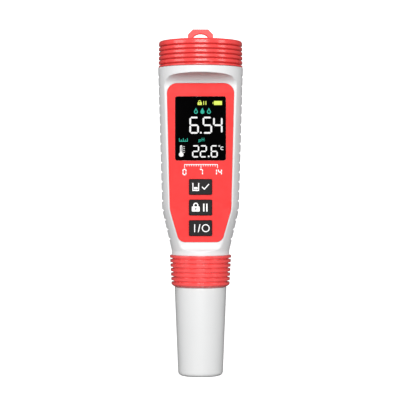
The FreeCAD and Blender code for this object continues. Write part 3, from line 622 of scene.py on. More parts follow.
def lathe(name, path, material, segments, angle=32.0):
    # closed (radius, height) path turned about the pen's axis; a point on the axis is one vertex
    verts = []
    rings = []
    for radius, height in path:
        if radius < 1e-6:
            rings.append([len(verts)])
            verts.append((0, 0, height))
            continue
        rings.append(list(range(len(verts), len(verts) + segments)))
        for index in range(segments):
            turn = 2 * math.pi * index / segments
            verts.append((radius * math.cos(turn), radius * math.sin(turn), height))
    faces = []
    for index, ring in enumerate(rings):
        following = rings[(index + 1) % len(rings)]
        if len(ring) == 1 and len(following) == 1:
            continue
        for here in range(segments):
            ahead = (here + 1) % segments
            if len(ring) == 1:
                faces.append((ring[0], following[ahead], following[here]))
            elif len(following) == 1:
                faces.append((ring[here], ring[ahead], following[0]))
            else:
                faces.append((ring[here], ring[ahead], following[ahead], following[here]))
    return newPiece(name, verts, faces, material, angle)


def evaluated(source):
    # plain mesh of an object as its modifiers leave it
    depsgraph = bpy.context.evaluated_depsgraph_get()
    return bpy.data.meshes.new_from_object(source.evaluated_get(depsgraph), depsgraph=depsgraph)


def applyModifiers(piece, angle):
    # the modifiers' result becomes the piece's own mesh
    mesh = evaluated(piece)
    piece.modifiers.clear()
    piece.data = mesh
    mesh.name = piece.name
    smoothShade(mesh, angle)
    return piece


def keepFlats(mesh):
    # flat fronts and backs are shaded straight up to their rounded edges
    shape = bmesh.new()
    shape.from_mesh(mesh)
    for edge in shape.edges:
        level = [abs(face.normal.y) > 0.9999 for face in edge.link_faces]
        if any(level) and not all(level):
            edge.smooth = False
    shape.to_mesh(mesh)
    shape.free()


def flatPiece(name, outlines, thickness, bevel, front, material, resolution=2, angle=32.0):
    # (x, z) outlines, filled and given a thickness behind the plane y = front; inner ones are holes
    curve = bpy.data.curves.new(name, "CURVE")
    curve.dimensions = "2D"
    curve.fill_mode = "BOTH"
    curve.extrude = thickness / 2 - bevel
    curve.bevel_depth = bevel
    curve.bevel_resolution = resolution
    curve.offset = -bevel
    for outline in outlines:
        spline = curve.splines.new("POLY")
        spline.points.add(len(outline) - 1)
        for point, place in zip(spline.points, outline):
            point.co = (place[0], place[1], 0, 1)
        spline.use_cyclic_u = True
    source = placed(name, curve)
    mesh = evaluated(source)
    bpy.data.objects.remove(source)
    upright = Matrix.Rotation(math.radians(90), 4, "X")
    mesh.transform(Matrix.Translation((0, front + thickness / 2, 0)) @ upright)
    mesh.transform(Matrix.Scale(mm, 4))
    shape = bmesh.new()
    shape.from_mesh(mesh)
    bmesh.ops.remove_doubles(shape, verts=shape.verts, dist=1e-7)
    bmesh.ops.recalc_face_normals(shape, faces=shape.faces)
    shape.to_mesh(mesh)
    shape.free()
    smoothShade(mesh, angle)
    keepFlats(mesh)
    mesh.materials.clear()
    mesh.materials.append(material)
    return placed(name, mesh)


def joinedPiece(name, pieces):
    # one object from several, which are then removed
    shape = bmesh.new()
    slots = []
    for piece in pieces:
        for material in piece.data.materials:
            if material not in slots:
                slots.append(material)
        offset = len(shape.faces)
        shape.from_mesh(piece.data)
        shape.faces.ensure_lookup_table()
        order = [slots.index(material) for material in piece.data.materials]
        for face in shape.faces[offset:]:
            face.material_index = order[face.material_index]
    mesh = bpy.data.meshes.new(name)
    shape.to_mesh(mesh)
    shape.free()
    for material in slots:
        mesh.materials.append(material)
    result = placed(name, mesh)
    for piece in pieces:
        bpy.data.objects.remove(piece)
    return result


def box2d(left, right, bottom, top, rounding=0.0, steps=5):
    corners = [(left, bottom), (right, bottom), (right, top), (left, top)]
    if rounding:
        corners = [corner + (rounding,) for corner in corners]
    return [tuple(point) for point in roundedPath(corners, steps, closed=True)]


def circle2d(x, z, radius, count=40):
    turns = [2 * math.pi * index / count for index in range(count)]
    return [(x + radius * math.cos(turn), z + radius * math.sin(turn)) for turn in turns]


# Geometry nodes: ridges, fins and threads by one rule


def geometryGroup(name, inputs):
    tree = bpy.data.node_groups.new(name, "GeometryNodeTree")
    socketNames(tree, "INPUT", [("Geometry", "Geometry")] + inputs + [("Material", "Material")])
    socketNames(tree, "OUTPUT", [("Geometry", "Geometry")])
    return tree


def closeTree(tree, geometry, start, end):
    realize = tree.nodes.new("GeometryNodeRealizeInstances")
    paint = tree.nodes.new("GeometryNodeSetMaterial")
    tree.links.new(geometry, realize.inputs[0])
    tree.links.new(realize.outputs[0], paint.inputs["Geometry"])
    tree.links.new(start.outputs["Material"], paint.inputs["Material"])
    tree.links.new(paint.outputs[0], end.inputs["Geometry"])


def smoothStep(tree, value, low, high):
    node = tree.nodes.new("ShaderNodeMapRange")
    node.interpolation_type = "SMOOTHSTEP"
    for socket, item in (("Value", value), ("From Min", low), ("From Max", high)):
        if isinstance(item, (int, float)):
            node.inputs[socket].default_value = item
        else:
            tree.links.new(item, node.inputs[socket])
    return node.outputs["Result"]


def ridgeTree():
    # pushes a turned surface inwards between its ridges; with Starts above 0 the ridge is a thread
    tree = geometryGroup("ridgeRule", [
        ("Low", "Float"), ("High", "Float"), ("Pitch", "Float"), ("Phase", "Float"),
        ("Depth", "Float"), ("Crest", "Float"), ("Root", "Float"), ("Starts", "Float"),
        ("Inner Limit", "Float"), ("Fade", "Float"),
    ])
    start, end = groupEnds(tree)
    given = start.outputs
    position = tree.nodes.new("GeometryNodeInputPosition").outputs[0]
    parts = tree.nodes.new("ShaderNodeSeparateXYZ")
    tree.links.new(position, parts.inputs[0])
    x, y, z = parts.outputs
    turn = mathNode(tree, "DIVIDE", mathNode(tree, "ARCTAN2", y, x), 2 * math.pi)
    rise = mathNode(tree, "DIVIDE", mathNode(tree, "SUBTRACT", z, given["Low"]), given["Pitch"])
    phase = mathNode(tree, "ADD", rise, given["Phase"])
    phase = mathNode(tree, "SUBTRACT", phase, mathNode(tree, "MULTIPLY", turn, given["Starts"]))
    saw = mathNode(tree, "FRACT", phase)
    away = mathNode(tree, "SUBTRACT", mathNode(tree, "MULTIPLY", saw, 2.0), 1.0)
    away = mathNode(tree, "ABSOLUTE", away)
    groove = smoothStep(tree, away, given["Crest"], given["Root"])
    square = mathNode(tree, "ADD", mathNode(tree, "MULTIPLY", x, x), mathNode(tree, "MULTIPLY", y, y))
    radius = mathNode(tree, "SQRT", square)
    outside = mathNode(tree, "GREATER_THAN", radius, given["Inner Limit"])
    rising = smoothStep(tree, z, given["Low"], mathNode(tree, "ADD", given["Low"], given["Fade"]))
    falling = smoothStep(tree, z, given["High"], mathNode(tree, "SUBTRACT", given["High"], given["Fade"]))
    mask = mathNode(tree, "MULTIPLY", outside, mathNode(tree, "MULTIPLY", rising, falling))
    drop = mathNode(tree, "MULTIPLY", mathNode(tree, "MULTIPLY", groove, mask), given["Depth"])
    share = mathNode(tree, "DIVIDE", drop, mathNode(tree, "MAXIMUM", radius, 1e-6))
    share = mathNode(tree, "MULTIPLY", share, -1.0)
    push = tree.nodes.new("ShaderNodeCombineXYZ")
    tree.links.new(mathNode(tree, "MULTIPLY", x, share), push.inputs[0])
    tree.links.new(mathNode(tree, "MULTIPLY", y, share), push.inputs[1])
    move = tree.nodes.new("GeometryNodeSetPosition")
    tree.links.new(given["Geometry"], move.inputs["Geometry"])
    tree.links.new(push.outputs[0], move.inputs["Offset"])
    closeTree(tree, move.outputs[0], start, end)
    return tree


def tickTree():
    # a row of upright printed ticks, every so many of them longer
    tree = geometryGroup("tickRow", [
        ("Count", "Int"), ("Spacing", "Float"), ("Width", "Float"), ("Height", "Float"),
        ("Long Height", "Float"), ("Every", "Int"), ("Thickness", "Float"),
    ])
    start, end = groupEnds(tree)
    given = start.outputs
    line = tree.nodes.new("GeometryNodeMeshLine")
    step = tree.nodes.new("ShaderNodeCombineXYZ")
    tree.links.new(given["Spacing"], step.inputs[0])
    tree.links.new(given["Count"], line.inputs["Count"])
    tree.links.new(step.outputs[0], line.inputs["Offset"])
    index = tree.nodes.new("GeometryNodeInputIndex").outputs[0]
    odd = mathNode(tree, "GREATER_THAN", mathNode(tree, "MODULO", index, given["Every"]), 0.5)
    tall = mathNode(tree, "SUBTRACT", 1.0, odd)
    growth = mathNode(tree, "SUBTRACT", given["Long Height"], given["Height"])
    growth = mathNode(tree, "MULTIPLY", tall, growth)
    height = mathNode(tree, "ADD", given["Height"], growth)
    bar = tree.nodes.new("GeometryNodeMeshCube")
    bar.inputs["Size"].default_value = (1, 1, 1)
    scale = tree.nodes.new("ShaderNodeCombineXYZ")
    tree.links.new(given["Width"], scale.inputs[0])
    tree.links.new(given["Thickness"], scale.inputs[1])
    tree.links.new(height, scale.inputs[2])
    copies = tree.nodes.new("GeometryNodeInstanceOnPoints")
    tree.links.new(line.outputs[0], copies.inputs["Points"])
    tree.links.new(bar.outputs[0], copies.inputs["Instance"])
    tree.links.new(scale.outputs[0], copies.inputs["Scale"])
    lift = tree.nodes.new("GeometryNodeTranslateInstances")
    rise = tree.nodes.new("ShaderNodeCombineXYZ")
    tree.links.new(mathNode(tree, "MULTIPLY", height, -0.5), rise.inputs[2])
    tree.links.new(copies.outputs[0], lift.inputs["Instances"])
    tree.links.new(rise.outputs[0], lift.inputs["Translation"])
    lift.inputs["Local Space"].default_value = False
    joined = tree.nodes.new("GeometryNodeJoinGeometry")
    tree.links.new(lift.outputs[0], joined.inputs[0])
    closeTree(tree, joined.outputs[0], start, end)
    return tree


def runTree(piece, tree, values, material, angle):
    # the tree's inputs are set by socket before it runs once, and its result is kept as the mesh
    modifier = piece.modifiers.new(tree.name, "NODES")
    modifier.node_group = tree
    sockets = {item.name: item.identifier for item in tree.interface.items_tree if item.in_out == "INPUT"}
    for name, value in values.items():
        modifier[sockets[name]] = value
    modifier[sockets["Material"]] = material
    return applyModifiers(piece, angle)


ridgeRule = ridgeTree()
tickRow = tickTree()


def ridged(piece, values, material):
    # the rule's lengths are given in millimetres
    lengths = ("Low", "High", "Pitch", "Depth", "Inner Limit", "Fade")
    scaled = {}
    for name, value in values.items():
        scaled[name] = float(value) * mm if name in lengths else float(value)
    return runTree(piece, ridgeRule, scaled, material, 40.0)


print("stage: housing")

housing = {
    "wall": 2.0,
    "neckRadius": 14.45,
    "neckHeight": 2.2,
    "flareHeight": 20.4,
    "flareRadius": 19.26,
    "flareBlend": 28.0,
    "shoulderRadius": 21.3,
    "shoulderRounding": 0.4,
    "faceDepth": 11.2,
    "heelHeight": 1.4,
    "heelBlend": 2.4,
    "browRoot": (11.2, 7.9, 4.6),               # depth, drop below the shoulder, rounding
    "browCorner": (14.6, 4.6, 8.0),
    "browLip": (21.3, 3.4),
    "browEnd": (30.0, 1.84),
    "innerFace": 9.2,
    "gripCount": 18,
    "gripPitch": 4.75,
    "gripFirst": 4.45,                          # drop of the top notch below the shoulder
    "gripDepth": 0.85,
    "gripHalfHeight": 0.75,
    "faceEdge": 0.7,                            # rounding where the flat face meets the body
    "gripEdge": 0.25,
    "partingGroove": 0.16,
    "spigotHole": 12.25,
    "mouthHole": 18.35,
    "mouthFloor": 2.0,
    "innerDrops": (8.0, 20.0),                  # below the shoulder, where the inside is divided
    "innerLevels": (110.0, 95.0),
    "innerRises": (4.0, -2.0, -6.0, -12.0),     # above the top of the flare
}
flareBottom = bodyBottom + housing["neckHeight"]
flareTop = flareBottom + housing["flareHeight"]

bodyPath = roundedPath([
    (housing["neckRadius"], bodyBottom),
    (housing["neckRadius"], flareBottom, 3.0),
    (housing["flareRadius"], flareTop, housing["flareBlend"]),
    (housing["shoulderRadius"], shoulder),
], steps=14)
facePath = roundedPath([
    (housing["neckRadius"], flareBottom),
    (housing["faceDepth"], flareBottom + housing["heelHeight"], housing["heelBlend"]),
    (housing["browRoot"][0], shoulder - housing["browRoot"][1], housing["browRoot"][2]),
    (housing["browCorner"][0], shoulder - housing["browCorner"][1], housing["browCorner"][2]),
    (housing["browLip"][0], shoulder - housing["browLip"][1]),
    (housing["browEnd"][0], shoulder - housing["browEnd"][1]),
], steps=14)
gripTop = shoulder - housing["gripFirst"]
gripHeights = [gripTop - index * housing["gripPitch"] for index in range(housing["gripCount"])]


def alongPath(path, height):
    # first coordinate of a rising path at a height
    if height <= path[0].y:
        return path[0].x
    for here, ahead in zip(path, path[1:]):
        if here.y <= height <= ahead.y and ahead.y > here.y:
            return between(here.x, ahead.x, (height - here.y) / (ahead.y - here.y))
    return path[-1].x


def bodyRadius(height):
    return alongPath(bodyPath, height)


def faceDepthAt(height):
    if height < flareBottom:
        return 2 * housing["shoulderRadius"]
    return alongPath(facePath, height)


def gripReach(height):
    reach = bodyRadius(height)
    for centre in gripHeights:
        share = (height - centre) / housing["gripHalfHeight"]
        if abs(share) < 1:
            reach -= housing["gripDepth"] * 0.5 * (1 + math.cos(math.pi * share))
    return reach


def outerReach(turn, height):
    # distance of the outer surface from the axis; turn 0 looks out through the flat face
    reach = bodyRadius(height)
    front = math.cos(turn)
    side = abs(math.sin(turn))
    if front > 0.05:
        reach = smoothMin(reach, faceDepthAt(height) / front, housing["faceEdge"])
    if side > 0.5:
        reach = smoothMin(reach, gripReach(height) / side, housing["gripEdge"])
    return reach


def innerReach(turn, height):
    # distance of the inner surface, a wall's thickness in and flat behind the face
    reach = bodyRadius(height) - housing["wall"]
    front = math.cos(turn)
    if front > 0.05:
        reach = min(reach, housing["innerFace"] / front)
    return reach


def faceEdgeTurn(height):
    # direction in which the flat face meets the round body, kept off the middle
    share = min(1.0, faceDepthAt(height) / bodyRadius(height))
    return min(max(math.acos(share), math.radians(24)), math.radians(60))


def housingHeights():
    # rows of the mesh, closer together at the foot, the notches and the brow
    heights = [bodyBottom, bodyBottom + 0.15, bodyBottom + 0.4, flareBottom - 0.9, flareBottom - 0.3]
    heights += [flareBottom + 0.22 * index for index in range(20)]
    for centre in gripHeights:
        heights += [centre + housing["gripHalfHeight"] * share / 5 for share in range(-6, 7)]
        heights += [centre + housing["gripPitch"] * share for share in (-0.42, -0.32, 0.32, 0.42)]
    browBottom = shoulder - housing["browRoot"][1] - 1.4
    heights += [browBottom + 0.24 * index for index in range(38)]
    heights += [shoulder - drop for drop in (1.2, 0.8, 0.4)]
    heights = sorted(height for height in heights if bodyBottom <= height <= shoulder - 0.4)
    kept = [heights[0]]
    for height in heights[1:]:
        if height - kept[-1] > 0.09:
            kept.append(height)
    return kept


def frontTurns(height):
    # columns of the front half, closer together where the face meets the body
    edge = faceEdgeTurn(height)
    half = [edge * share for share in (0.0, 0.1, 0.2, 0.3, 0.4, 0.5, 0.6, 0.7, 0.8, 0.88)]
    offsets = (-2.6, -1.8, -1.2, -0.7, -0.3, 0.0, 0.3, 0.7, 1.2, 1.8, 2.6)
    near = [edge + math.radians(offset) for offset in offsets]
    last = near[-1]
    far = [between(last, math.radians(89.4), index / 18) for index in range(1, 19)]
    right = half + near + far + [math.radians(90)]
    return [-turn for turn in reversed(right[1:])] + right


def rearTurns(height):
    # columns of the rear half, the same at every height
    side = [90.0, 90.6, 91.5] + [91.5 + 1.4 * index for index in range(1, 12)]
    side += [between(side[-1], 180.0, index / 26) for index in range(1, 27)]
    turns = side + [360 - turn for turn in reversed(side[:-1])]
    return [math.radians(turn) for turn in turns]


def shellHalf(name, turnsAt, material):
    # columns run round the shell; each one is a closed chain of points up the outside and down the inside
    heights = housingHeights()
    rounding = housing["shoulderRounding"]
    columns = len(turnsAt(bodyBottom))
    chain = []
    for height in heights:
        chain.append((height, [outerReach(turn, height) for turn in turnsAt(height)], turnsAt(height)))
    chain[0] = (heights[0], [reach - 0.15 for reach in chain[0][1]], chain[0][2])
    top = turnsAt(shoulder)
    for step in range(1, 5):
        angle = math.radians(90) * step / 4
        drop = rounding * (1 - math.sin(angle))
        inset = rounding * (1 - math.cos(angle))
        chain.append((shoulder - drop, [bodyRadius(shoulder) - inset] * columns, top))
    floor = shoulder - housing["mouthFloor"]
    chain.append((shoulder, [housing["mouthHole"]] * columns, top))
    chain.append((floor, [housing["mouthHole"]] * columns, top))
    inner = [floor] + [shoulder - drop for drop in housing["innerDrops"]] + list(housing["innerLevels"])
    inner += [flareTop + rise for rise in housing["innerRises"]] + [flareBottom + 4.0, flareBottom]
    for height in inner:
        chain.append((height, [innerReach(turn, height) for turn in turnsAt(height)], turnsAt(height)))
    chain.append((flareBottom, [housing["spigotHole"]] * columns, turnsAt(bodyBottom)))
    chain.append((bodyBottom, [housing["spigotHole"]] * columns, turnsAt(bodyBottom)))
    verts = []
    outerRows = len(heights) + 4
    for row, (height, reaches, turns) in enumerate(chain):
        for column, (reach, turn) in enumerate(zip(reaches, turns)):
            if row < outerRows and column in (0, columns - 1):
                reach -= housing["partingGroove"]
            verts.append((reach * math.sin(turn), -reach * math.cos(turn), height))
    faces = []
    rows = len(chain)
    for row in range(rows):
        following = (row + 1) % rows
        for column in range(columns - 1):
            faces.append((
                row * columns + column, row * columns + column + 1,
                following * columns + column + 1, following * columns + column,
            ))
    for column in (0, columns - 1):
        faces.append([row * columns + column for row in range(rows)])
    return newPiece(name, verts, faces, material, 40.0)


plate = {
    "bottom": lowMm("face_plate").z,
    "top": highMm("face_plate").z,
    "footHalfWidth": 10.5,
    "waistRise": 16.0,
    "waistMargin": 0.55,
    "topMargin": 1.2,
    "footCorner": 4.0,
    "waistBlend": 12.0,
    "topCorner": 5.0,
    "thickness": 1.0,
    "bevel": 0.14,
    "gap": 0.1,
}


def straightRadius(height):
    share = (height - flareTop) / (shoulder - flareTop)
    return between(housing["flareRadius"], housing["shoulderRadius"], share)


def plateOutline(grow=0.0):
    def halfFace(height):
        return math.sqrt(straightRadius(height) ** 2 - housing["faceDepth"] ** 2)

    waist = plate["bottom"] + plate["waistRise"]
    right = [
        (plate["footHalfWidth"] + grow, plate["bottom"] - grow, plate["footCorner"]),
        (halfFace(waist) - plate["waistMargin"] + grow, waist, plate["waistBlend"]),
        (halfFace(plate["top"]) - plate["topMargin"] + grow, plate["top"] + grow, plate["topCorner"]),
    ]
    left = [(-x, z, rounding) for x, z, rounding in reversed(right)]
    return roundedPath(right + left, steps=10, closed=True)


def nodeOutline(node, grow, rounding):
    # rounded rectangle round a node, as seen from the front
    low, high = lowMm(node), highMm(node)
    return box2d(low.x - grow, high.x + grow, low.z - grow, high.z + grow, rounding + grow, 6)


keyNames = ("calibrate", "hold", "power")
keys = {
    "width": 11.1,
    "height": 7.5,
    "corner": 0.45,
    "gap": 0.15,
    "bevel": 0.22,
    "windowLedge": 1.1,
    "windowCorner": 0.95,
    "windowGrow": 0.16,                         # of the lens beyond the part's own
    "flangeThickness": 0.8,
    "flangeCorner": 1.8,
    "stemRadius": 1.7,
}


def keyCentre(name):
    low, high = lowMm(name + "_button"), highMm(name + "_button")
    return (low.z + high.z) / 2


def keyOutline(name, grow):
    centre = keyCentre(name)
    halfWidth = keys["width"] / 2 + grow
    low = centre - keys["height"] / 2 - grow
    high = centre + keys["height"] / 2 + grow
    return box2d(-halfWidth, halfWidth, low, high, keys["corner"] + grow, 6)


def cutWith(piece, cutters):
    # the cutters are removed after their work
    for cutter in cutters:
        modifier = piece.modifiers.new("opening", "BOOLEAN")
        modifier.operation = "DIFFERENCE"
        modifier.solver = "EXACT"
        modifier.object = cutter
    applyModifiers(piece, 40.0)
    for cutter in cutters:
        bpy.data.objects.remove(cutter)


shellWhite = finish["white_shell"]
frontHalf = shellHalf("housingFront", frontTurns, shellWhite)
rearHalf = shellHalf("housingRear", rearTurns, shellWhite)
outside = -housing["faceDepth"] - 4.0
pocketFloor = plateFront + plate["thickness"]
insideDepth = -housing["innerFace"] + 1.0 - outside
ledge = keys["windowLedge"]
pocket = [plateOutline(plate["gap"])]
openings = [nodeOutline("display_window", -ledge, keys["windowCorner"] + ledge)]
openings += [keyOutline(name, keys["gap"]) for name in keyNames]
cutters = [
    flatPiece("pocketCutter", pocket, pocketFloor - outside, 0.0, outside, shellWhite),
    flatPiece("openingCutter", openings, insideDepth, 0.0, outside, shellWhite),
]
cutWith(frontHalf, cutters)
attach(frontHalf, "housing")
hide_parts("front_shell")
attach(rearHalf, "housing")
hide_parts("rear_shell")

# Threaded ends of the housing

ends = {
    "mouthRadius": 18.3,
    "mouthBore": 16.5,
    "mouthTop": highMm("front_shell").z,
    "spigotRadius": 12.2,
    "spigotBore": 10.3,
    "spigotBottom": lowMm("front_shell").z,
    "threadDepth": 0.55,
    "threadPitch": 3.0,
    "threadShape": (0.25, 0.6),                 # crest's end and root's start, as shares of half a pitch
    "threadFade": 0.8,                          # length over which a thread dies out
    "mouthMargins": (1.6, 0.6),                 # of the thread, above the shoulder and below the top
    "spigotMargin": 0.8,
}


def threadedRing(name, outer, bore, bottom, top, threadLow, threadHigh):
    path = roundedPath([
        (bore, bottom, 0.2), (outer, bottom, 0.3), (outer, top, 0.3), (bore, top, 0.2),
    ], steps=3, closed=True)
    path = dividedPath(path, 0.14, bottom, top)
    ring = lathe(name, path, shellWhite, 160)
    crest, root = ends["threadShape"]
    ridged(ring, {
        "Low": threadLow, "High": threadHigh, "Pitch": ends["threadPitch"], "Phase": 0.0,
        "Depth": ends["threadDepth"], "Crest": crest, "Root": root, "Starts": 1,
        "Inner Limit": (outer + bore) / 2, "Fade": ends["threadFade"],
    }, shellWhite)
    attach(ring, "housing")
    return ring


threadedRing(
    "mouthThread", ends["mouthRadius"], ends["mouthBore"], shoulder - housing["mouthFloor"],
    ends["mouthTop"], shoulder + ends["mouthMargins"][0], ends["mouthTop"] - ends["mouthMargins"][1]
)
threadedRing(
    "spigotThread", ends["spigotRadius"], ends["spigotBore"], ends["spigotBottom"], flareBottom,
    ends["spigotBottom"] + ends["spigotMargin"], bodyBottom - ends["spigotMargin"]
)

print("stage: face")

windowOutline = nodeOutline("display_window", keys["windowGrow"] + 0.08, keys["windowCorner"])
plateShapes = [plateOutline(), windowOutline] + [keyOutline(name, keys["gap"]) for name in keyNames]
facePlate = flatPiece(
    "facePlate", plateShapes, plate["thickness"], plate["bevel"], plateFront, finish["red_plate"]
)
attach(facePlate, "housing")
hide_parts("face_plate")

lens = flatPiece(
    "displayLens", [nodeOutline("display_window", keys["windowGrow"], keys["windowCorner"])],
    highMm("display_window").y - lensFront, 0.12, lensFront, finish["black_lens"]
)
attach(lens, "housing")
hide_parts("display_window")


def keyPiece(name):
    # cap of the key, then its flange and stem behind the wall
    grey = finish["key_grey"]
    low, high = lowMm(name + "_button"), highMm(name + "_button")
    flangeFront = -housing["innerFace"] + 0.1
    flangeBack = flangeFront + keys["flangeThickness"]
    capOutline = keyOutline(name, 0.0)
    flangeOutline = nodeOutline(name + "_button", 0.0, keys["flangeCorner"])
    stemOutline = circle2d(0, keyCentre(name), keys["stemRadius"])
    cap = flatPiece(name + "Cap", [capOutline], flangeFront - low.y, keys["bevel"], low.y, grey, 4)
    flange = flatPiece(name + "Flange", [flangeOutline], keys["flangeThickness"], 0.1, flangeFront, grey)
    stem = flatPiece(name + "Stem", [stemOutline], high.y - flangeBack, 0.05, flangeBack, grey)
    key = joinedPiece(name + "Key", [cap, flange, stem])
    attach(key, name + "_key")
    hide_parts(name + "_button")
    return key


for name in keyNames:
    keyPiece(name)

print("stage: prints and screen")

photoScale = 0.49236                            # millimetres on the face for a pixel of the photograph
photoMiddle = (200.05, 184.5)
ink = 0.02                                      # thickness of a printed or lit mark


def fromPhoto(px, py):
    return (px - photoMiddle[0]) * photoScale, cameraSetup["height"] + (photoMiddle[1] - py) * photoScale


def photoArea(area):
    # left, right, bottom and top on the face
    left, bottom = fromPhoto(area["left"], area["bottom"])
    right, top = fromPhoto(area["right"], area["top"])
    return left, right, bottom, top


def addMark(name, outlines, front, slot, body="housing"):
    mark = flatPiece(name, outlines, ink, 0.0, front - ink, finish[slot], angle=60.0)
    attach(mark, body)
    return mark


segmentCode = {
    "0": "abcdef", "1": "bc", "2": "abged", "3": "abgcd", "4": "fgbc",
    "5": "afgcd", "6": "afgedc", "7": "abc", "8": "abcdefg", "9": "abcdfg",
}


def segmentOutlines(digit, left, bottom, width, height, stroke):
    # seven-segment bars with chamfered ends, kept apart by a small gap
    gap = 0.14 * stroke
    half = stroke / 2
    right = left + width
    top = bottom + height
    middle = bottom + half + (height - stroke) / 2
    columns = (left + half, right - half)
    levels = (bottom + half, middle, top - half)

    def level(z):
        first = columns[0] + gap
        last = columns[1] - gap
        return [
            (first, z), (first + half, z + half), (last - half, z + half),
            (last, z), (last - half, z - half), (first + half, z - half),
        ]

    def upright(x, low, high):
        first = low + gap
        last = high - gap
        return [
            (x, first), (x + half, first + half), (x + half, last - half),
            (x, last), (x - half, last - half), (x - half, first + half),
        ]

    bars = {
        "a": level(levels[2]), "g": level(levels[1]), "d": level(levels[0]),
        "f": upright(columns[0], levels[1], levels[2]), "e": upright(columns[0], levels[0], levels[1]),
        "b": upright(columns[1], levels[1], levels[2]), "c": upright(columns[1], levels[0], levels[1]),
    }
    return [bars[letter] for letter in segmentCode[digit]]


readouts = [
    {"name": "mainReading", "digits": "654", "lefts": (188.9, 202.1, 212.6), "width": 9.5, "top": 116.5,
     "bottom": 133.5, "stroke": 1.7, "point": (200.4, 132.5, 0.95)},
    {"name": "smallReading", "digits": "226", "lefts": (191.6, 199.3, 210.2), "width": 7.1, "top": 145.0,
     "bottom": 157.3, "stroke": 1.35, "point": (208.2, 156.2, 0.9)},
]


def addReadout(values):
    outlines = []
    for digit, px in zip(values["digits"], values["lefts"]):
        left, bottom = fromPhoto(px, values["bottom"])
        height = (values["bottom"] - values["top"]) * photoScale
        outlines += segmentOutlines(
            digit, left, bottom, values["width"] * photoScale, height, values["stroke"] * photoScale
        )
    x, z = fromPhoto(*values["point"][:2])
    outlines.append(circle2d(x, z, values["point"][2] * photoScale, 20))
    addMark(values["name"], outlines, lensFront, "screen_white")


for readout in readouts:
    addReadout(readout)


def padlock(x, z, size):
    # body with a keyhole, and a shackle
    half = size / 2
    body = box2d(x - half, x + half, z - half, z + 0.15 * size, 0.1 * size, 3)
    hole = circle2d(x, z - 0.16 * size, 0.1 * size, 16)
    shackle = [(x - 0.32 * size, z + 0.15 * size)]
    for index in range(13):
        turn = math.pi - math.pi * index / 12
        shackle.append((x + 0.32 * size * math.cos(turn), z + 0.3 * size + 0.32 * size * math.sin(turn)))
    shackle.append((x + 0.32 * size, z + 0.15 * size))
    shackle.append((x + 0.18 * size, z + 0.15 * size))
    for index in range(13):
        turn = math.pi * index / 12
        shackle.append((x + 0.18 * size * math.cos(turn), z + 0.3 * size + 0.18 * size * math.sin(turn)))
    shackle.append((x - 0.18 * size, z + 0.15 * size))
    return [body, hole, shackle]


def droplet(x, z, size, hollow=False):
    # pointed above and round below, with a hole of the same shape if hollow
    def drop(share):
        points = [(x, z + 0.62 * size * share)]
        radius = 0.36 * size * share
        for index in range(17):
            turn = math.radians(35) - math.radians(250) * index / 16
            points.append((x + radius * math.cos(turn), z - 0.12 * size + radius * math.sin(turn)))
        return points

    return [drop(1.0), drop(0.5)] if hollow else [drop(1.0)]


def batteryShape(left, right, bottom, top):
    body = box2d(left, right, bottom, top, 0.1, 3)
    middle = (bottom + top) / 2
    nub = box2d(left - 0.62, left - 0.3, middle - 0.4, middle + 0.4)
    return [body, nub]


def thermometer(x, bottom, top):
    # bulb and stem in one outline, a slit for the liquid, and ticks beside it
    bulb = 1.15
    half = 0.55
    lift = math.sqrt(bulb * bulb - half * half)
    centre = bottom + bulb
    start = math.atan2(lift, half)
    points = []
    for index in range(25):
        turn = start - (2 * math.pi - (math.pi - 2 * start)) * index / 24
        points.append((x + bulb * math.cos(turn), centre + bulb * math.sin(turn)))
    points.append((x - half, top - half))
    for index in range(1, 8):
        turn = math.pi - math.pi * index / 8
        points.append((x + half * math.cos(turn), top - half + half * math.sin(turn)))
    points.append((x + half, top - half))
    slit = box2d(x - 0.16, x + 0.16, centre + 1.5, top - 0.6)
    levels = [top - 0.75 - 0.95 * index for index in range(4)]
    ticks = [box2d(x + 1.0, x + 1.75, level, level + 0.25) for level in levels]
    return [points, slit] + ticks


def letterP(left, bottom, height, stroke):
    # small p with a round bowl
    bowl = 0.36 * height
    x = left + stroke / 2 + bowl
    z = bottom + 0.62 * height
    stem = box2d(left, left + stroke, bottom, z + bowl)
    return [stem, circle2d(x, z, bowl, 24), circle2d(x, z, bowl - stroke, 20)]


def letterH(left, bottom, height, width, stroke):
    right = left + width
    top = bottom + height
    low = bottom + height / 2 - stroke / 2
    high = low + stroke
    return [[
        (left, bottom), (left + stroke, bottom), (left + stroke, low), (right - stroke, low),
        (right - stroke, bottom), (right, bottom), (right, top), (right - stroke, top),
        (right - stroke, high), (left + stroke, high), (left + stroke, top), (left, top),
    ]]


def openRing(x, z, radius, stroke, first, last, steps=24):
    # part of a ring between two angles, in degrees
    turns = [math.radians(between(first, last, index / steps)) for index in range(steps + 1)]
    bore = radius - stroke
    outer = [(x + radius * math.cos(turn), z + radius * math.sin(turn)) for turn in turns]
    inner = [(x + bore * math.cos(turn), z + bore * math.sin(turn)) for turn in reversed(turns)]
    return outer + inner


screenMarks = {
    "battery": {"left": 213.4, "right": 221.5, "top": 100.7, "bottom": 104.8},
    "lock": {"x": 199.2, "y": 102.7, "size": 2.1},
    "pause": {"lefts": (202.8, 205.0), "width": 0.8, "top": 100.9, "bottom": 104.7},
    "drops": {"xs": (195.4, 201.9, 208.4), "y": 111.0, "size": 2.7},
    "rule": {"left": 178.5, "right": 187.2, "top": 138.0, "bottom": 141.4, "ticks": 5},
    "unit": {"left": 198.1, "bottom": 141.9, "height": 2.0},
    "thermometer": {"x": 180.7, "top": 145.0, "bottom": 156.6},
    "degree": {"x": 218.8, "y": 145.8, "radius": 0.85},
    "celsius": {"x": 221.7, "y": 148.1, "radius": 1.8},
}


